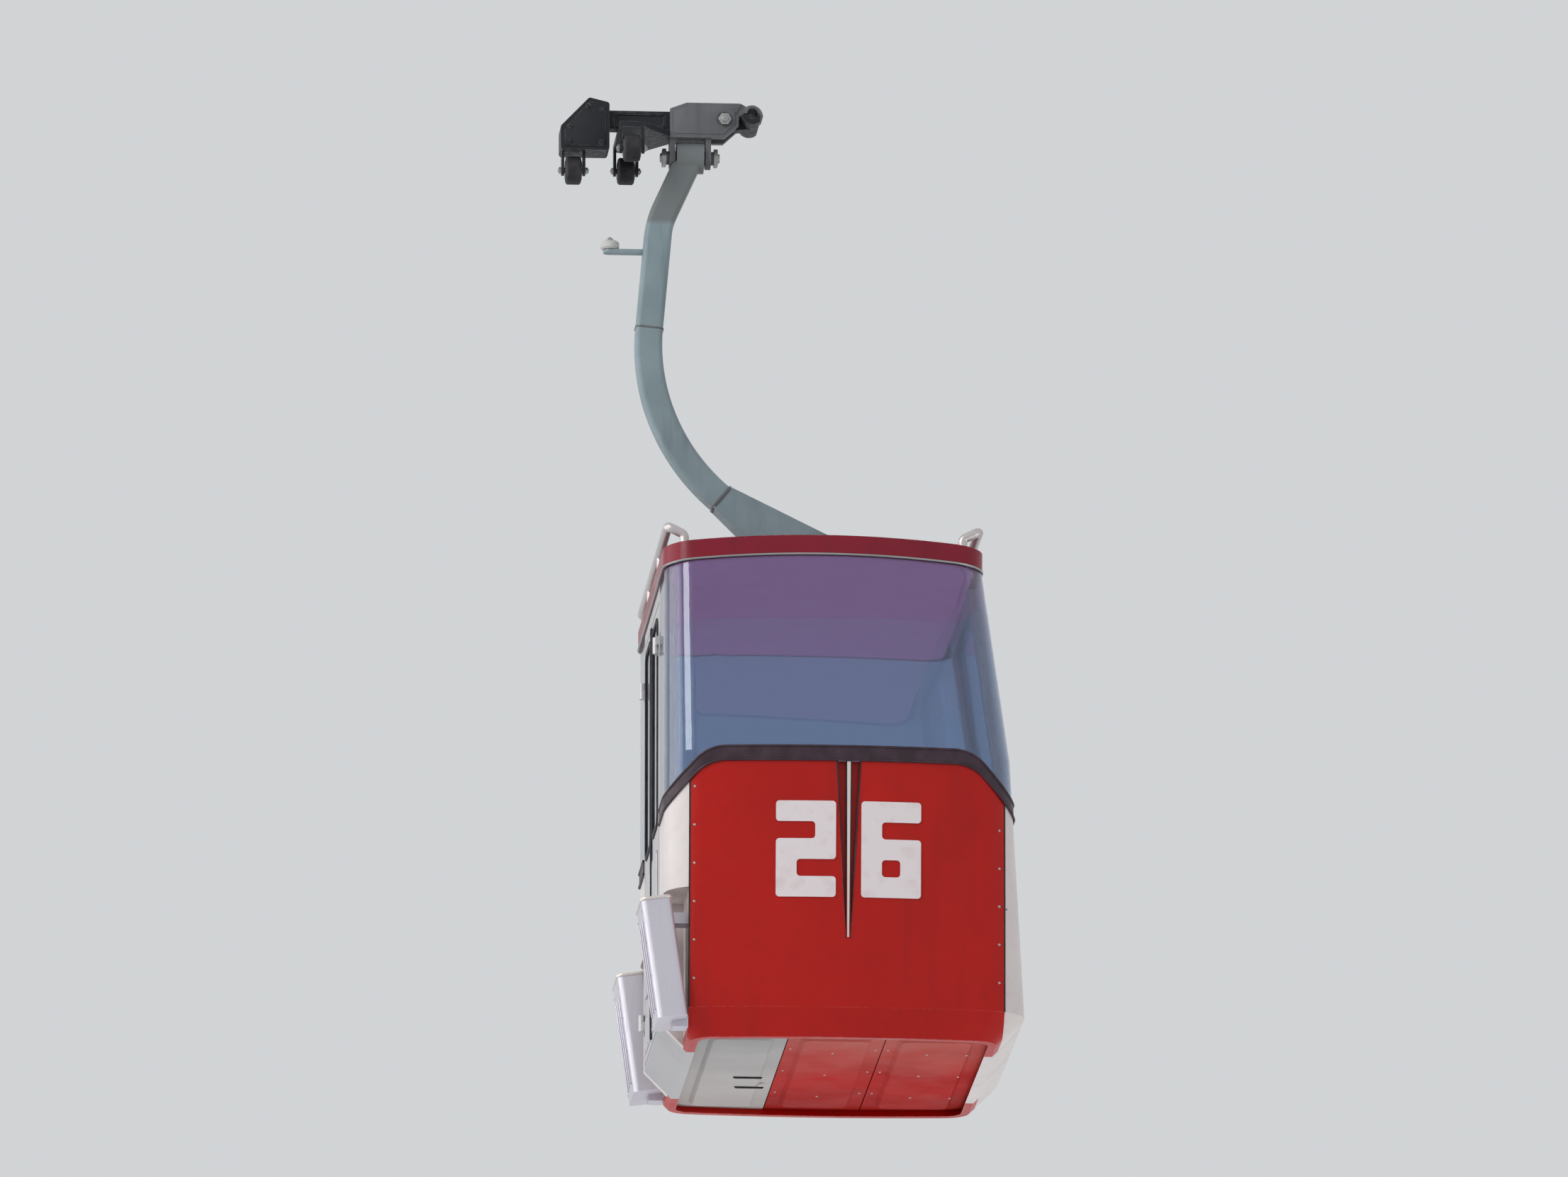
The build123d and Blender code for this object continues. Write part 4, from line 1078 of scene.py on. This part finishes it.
pin_nut = nut_on_pin(*LEVER_PIN_NUT)
x, _y, z = pivots["lever"]
pin_places = []
for side in (FRONT, REAR):
    pin_places.append(((x, side * LEVER_PIN_REACH, z), (0, side, 0)))
copies(pin_nut, pin_places, "lever_pin_nuts", "grip", zinc)
large_nut = nut_on_pin(*HANGER_PIN_NUT)
x, y, z = pivots["cabin"]
pin_places = both_faces((x - HANGER_PIN_REACH, x + HANGER_PIN_REACH), y, z)
copies(large_nut, pin_places, "hanger_pin_nuts", "grip", zinc)
drop(pin_nut, large_nut)


# Wheel's body, its discs' radius, how far the axle stands out of the wheel, and the axle's body
WHEELS = (
    ("running_wheel_front", 0.034, 0.016, "grip"),
    ("running_wheel_rear", 0.034, 0.016, "grip"),
    ("lever_roller", 0.036, 0.018, "lever"),
)
HUB_THICKNESS = 0.0025
# Rim, dish, web and boss: shares of the radius inwards and of the thickness upwards
HUB_STEPS = ((0.14, 0), (0.06, -0.6), (0.42, 0), (0.05, 0.6))
axle_nut = nut_on_pin(*AXLE_NUT)
for wheel, radius, axle_reach, carrier in WHEELS:
    low, high = corners_of(wheel)
    _x, y, z = pivots[wheel]
    faces = both_faces((low.x, high.x), y, z)
    axle_ends = both_faces((low.x - axle_reach, high.x + axle_reach), y, z)
    disc = stepped_disc(radius, HUB_THICKNESS, 32, HUB_STEPS)
    copies(disc, faces, f"{wheel}_discs", wheel, grip_paint)
    drop(disc)
    copies(axle_nut, axle_ends, f"{wheel}_axle_nuts", carrier, zinc)
drop(axle_nut, roller_nut)


# Closing lever: flanged sides on its bar, and bolted covers on its head
BAR_FIELD = (0.200, 0.058, 0.008, 0.010, 0.005)
BAR_MIDDLE = (-0.415, 0.025, -0.015)
HEAD_OUTSIDE = 0.060
# The head's side as X and height: its lowest and highest corner, and where two lines cut its upper corners
HEAD_LOW = (-0.705, -0.140)
HEAD_HIGH = (-0.525, 0.060)
HEAD_PEAK = (-0.600, 0.060)
HEAD_SHOULDERS = ((-0.705, -0.050), (-0.525, 0.042))
COVER_MARGIN = 0.014
COVER_HEIGHT = 0.004
COVER_CORNER = 0.010
# Radius and height of the covers' bolts
COVER_BOLT = (0.007, 0.005)
COVER_BOLTS = ((-0.672, -0.110), (-0.556, -0.110), (-0.556, 0.016), (-0.604, 0.026), (-0.672, -0.052))

width, height, corner, band, thickness = BAR_FIELD
flanges = []
for side in (FRONT, REAR):
    ring = rounded_ring(width, height, corner, band, thickness)
    point = (BAR_MIDDLE[0], side * BAR_MIDDLE[1], BAR_MIDDLE[2])
    flanges.append(stand_on(ring, point, (0, side, 0), (1, 0, 0)))
keep(join(flanges), "lever_flanges", "lever", dark_paint)


def head_cover():
    """A cover plate in the XY plane that follows the outline of the lever's head, its X and height."""
    bpy.ops.mesh.primitive_plane_add(size=1)
    cover = bpy.context.object
    cover.scale = (HEAD_HIGH[0] - HEAD_LOW[0], HEAD_HIGH[1] - HEAD_LOW[1], 1)
    cover.location = ((HEAD_LOW[0] + HEAD_HIGH[0]) / 2, (HEAD_LOW[1] + HEAD_HIGH[1]) / 2, 0)
    apply_place(cover)
    start_edit()
    for shoulder in HEAD_SHOULDERS:
        line = Vector((shoulder[0] - HEAD_PEAK[0], shoulder[1] - HEAD_PEAK[1], 0))
        outward = Vector((-abs(line.y) if shoulder[0] < HEAD_PEAK[0] else abs(line.y), abs(line.x), 0))
        bpy.ops.mesh.select_all(action="SELECT")
        bpy.ops.mesh.bisect(plane_co=(*HEAD_PEAK, 0), plane_no=outward, clear_outer=True)
    bpy.ops.mesh.select_all(action="SELECT")
    bpy.ops.mesh.inset(thickness=COVER_MARGIN)
    bpy.ops.mesh.select_all(action="INVERT")
    bpy.ops.mesh.delete(type="FACE")
    bpy.ops.object.mode_set(mode="OBJECT")
    modify(cover, "BEVEL", affect="VERTICES", width=COVER_CORNER, segments=4, limit_method="NONE")
    modify(cover, "SOLIDIFY", thickness=COVER_HEIGHT, offset=1)
    modify(cover, "BEVEL", width=COVER_HEIGHT * 0.3, segments=2, limit_method="ANGLE")
    return cover


pattern = head_cover()
cover_bolt = hex_bolt(*COVER_BOLT)
for side, name in ENDS:
    cover = twin_of(pattern)
    cover.data.transform(Matrix((
        (1, 0, 0, 0),
        (0, 0, side, side * HEAD_OUTSIDE),
        (0, 1, 0, 0),
        (0, 0, 0, 1),
    )))
    bpy.context.view_layer.objects.active = cover
    start_edit()
    bpy.ops.mesh.select_all(action="SELECT")
    bpy.ops.mesh.normals_make_consistent(inside=False)
    bpy.ops.object.mode_set(mode="OBJECT")
    keep(cover, f"head_cover_{name}", "lever", dark_paint)
    places = []
    for x, z in COVER_BOLTS:
        places.append(((x, side * (HEAD_OUTSIDE + COVER_HEIGHT), z), (0, side, 0)))
    copies(cover_bolt, places, f"head_bolts_{name}", "lever", dark_paint)
drop(pattern, cover_bolt)


# Ski quivers: rolled rims, pressed ribs and rivets
QUIVER_START = (-0.336, -3.550)
QUIVER_LEAN = math.radians(8)
QUIVER_DEPTH = 0.110
QUIVER_RISE = 0.445
QUIVER_CORNER = 0.022
RIM_PROUD = 0.005
RIM_BAND = 0.013
RIM_HEIGHT = 0.012
RIB_SIZE = (0.012, 0.330, 0.005)
RIB_REACHES = (-0.070, 0, 0.070)
# How far up the quiver, as shares of its rise, and how far to either side
RIB_SHARE = 0.46
QUIVER_RIVET_SHARES = (0.08, 0.36, 0.64, 0.90)
QUIVER_RIVET_REACH = 0.105
RIM_LIFT = 0.001

quiver_axis = Vector((-math.sin(QUIVER_LEAN), 0, math.cos(QUIVER_LEAN)))
quiver_out = Vector((-math.cos(QUIVER_LEAN), 0, -math.sin(QUIVER_LEAN)))
for _end, name in ENDS:
    low, high = corners_of(f"ski_quiver_{name}")
    foot = Vector((QUIVER_START[0], (low.y + high.y) / 2, QUIVER_START[1]))
    rim = rounded_ring(
        QUIVER_DEPTH + 2 * RIM_PROUD, high.y - low.y + 2 * RIM_PROUD, QUIVER_CORNER + RIM_PROUD,
        RIM_BAND, RIM_HEIGHT,
    )
    stand_on(rim, foot + quiver_axis * (QUIVER_RISE - RIM_HEIGHT + RIM_LIFT), quiver_axis, quiver_out)
    keep(rim, f"quiver_rim_{name}", "cabin", trim_and_highlight_metal)
    face = foot + quiver_out * QUIVER_DEPTH / 2
    pressed = []
    for reach in RIB_REACHES:
        width, length, proud = RIB_SIZE
        rib = rounded_plate(width, length, width * 0.45, proud, proud * 0.6)
        point = face + quiver_axis * QUIVER_RISE * RIB_SHARE + Vector((0, reach, 0))
        pressed.append(stand_on(rib, point, quiver_out, (0, 1, 0)))
    keep(join(pressed), f"quiver_ribs_{name}", "cabin", quiver_metal)
    places = []
    for reach in (-QUIVER_RIVET_REACH, QUIVER_RIVET_REACH):
        for share in QUIVER_RIVET_SHARES:
            point = face + quiver_axis * QUIVER_RISE * share
            places.append((point + Vector((0, reach, 0)), quiver_out))
    copies(rivet_head, places, f"quiver_rivets_{name}", "cabin", zinc)


# Underside: vent louvres on the tray, and rows of screws across the two pans
LOUVRES = ((-0.005, 0.060), (0.012, 0.230))
LOUVRE_SIZE = (0.110, 0.018, 0.007)
SCREW_COLUMNS = {
    "floor_pan_middle": (0.118, 0.272, 0.428),
    "floor_pan_outer": (0.474, 0.615, 0.760),
}
SCREW_ROWS = (-0.375, 0, 0.375)


def louvre(length, width, rise):
    """A pressed hood with a sloping back and a steep, closed lip, standing on the origin."""
    bpy.ops.mesh.primitive_cube_add(size=1, location=(0, 0, rise / 2))
    hood = bpy.context.object
    hood.scale = (length, width, rise)
    apply_place(hood)
    start_edit()
    select_faces(hood, lambda place, normal: normal.z > 0.9)
    bpy.ops.transform.resize(value=(0.9, 0.35, 1))
    bpy.ops.transform.translate(value=(0, width * 0.3, 0))
    bpy.ops.object.mode_set(mode="OBJECT")
    modify(hood, "BEVEL", width=rise * 0.3, segments=2, limit_method="ANGLE")
    return hood


hood = louvre(*LOUVRE_SIZE)
places = []
for x, y in LOUVRES:
    point, normal = on_surface("floor_tray", (x, y, BELOW_FLOOR), (0, 0, 1))
    places.append(stand_on(twin_of(hood), point, (0, 0, -1), (1, 0, 0)))
# The louvres are black all over, painted shade that stands in for the dark openings under their lips
keep(join(places), "tray_louvres", "cabin", black_rubber)
drop(hood)
places = []
for pan, columns in SCREW_COLUMNS.items():
    for x in columns:
        for y in SCREW_ROWS:
            point, normal = on_surface(pan, (x, y, BELOW_FLOOR), (0, 0, 1))
            places.append((point, (0, 0, -1)))
copies(rivet_head, places, "pan_screws", "cabin", zinc)


# Rivet rows down the end panels' edges
ROW_STEP = 0.14
ROW_COUNT = 6
# From the panel's top to the first rivet, and from its edges to the rows
ROW_DROP = 0.095
FAR_ROW_INSET = 0.020
DOOR_ROW_INSET = 0.017

for end, name in ENDS:
    places = []
    for x in (panel_high.x - FAR_ROW_INSET, panel_low.x + DOOR_ROW_INSET):
        for step in range(ROW_COUNT):
            height = panel_high.z - ROW_DROP - step * ROW_STEP
            hit, point, normal, _index = nodes[f"end_panel_{name}"].ray_cast(
                Vector((x, end * FAR_OUT, height)), Vector((0, -end, 0))
            )
            # The belt line drops below the far row's first rivet, so that one is left out
            if hit:
                places.append((point, normal))
    copies(rivet_head, places, f"panel_rivets_{name}", "cabin", zinc)


# Bench slats
SLAT_WIDTH = 0.075
SLAT_STEP = 0.090
SLAT_COUNT = 4
SLAT_THICKNESS = 0.008
SLAT_MARGIN = 0.04
SLAT_CORNER = 0.012
SLAT_EDGE = 0.003

for end, name in ENDS:
    low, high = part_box(f"bench_{name}")
    inner_edge = high[1] if end == FRONT else low[1]
    slats = []
    for place in range(SLAT_COUNT):
        slat = rounded_plate(
            high[0] - low[0] - 2 * SLAT_MARGIN, SLAT_WIDTH, SLAT_CORNER, SLAT_THICKNESS, SLAT_EDGE
        )
        middle = ((low[0] + high[0]) / 2, inner_edge + end * (place + 0.5) * SLAT_STEP, high[2])
        slats.append(stand_on(slat, middle, (0, 0, 1), (1, 0, 0)))
    keep(join(slats), f"bench_slats_{name}", "cabin", bench_shell)
drop(rivet_head, bolt, foot_flange)
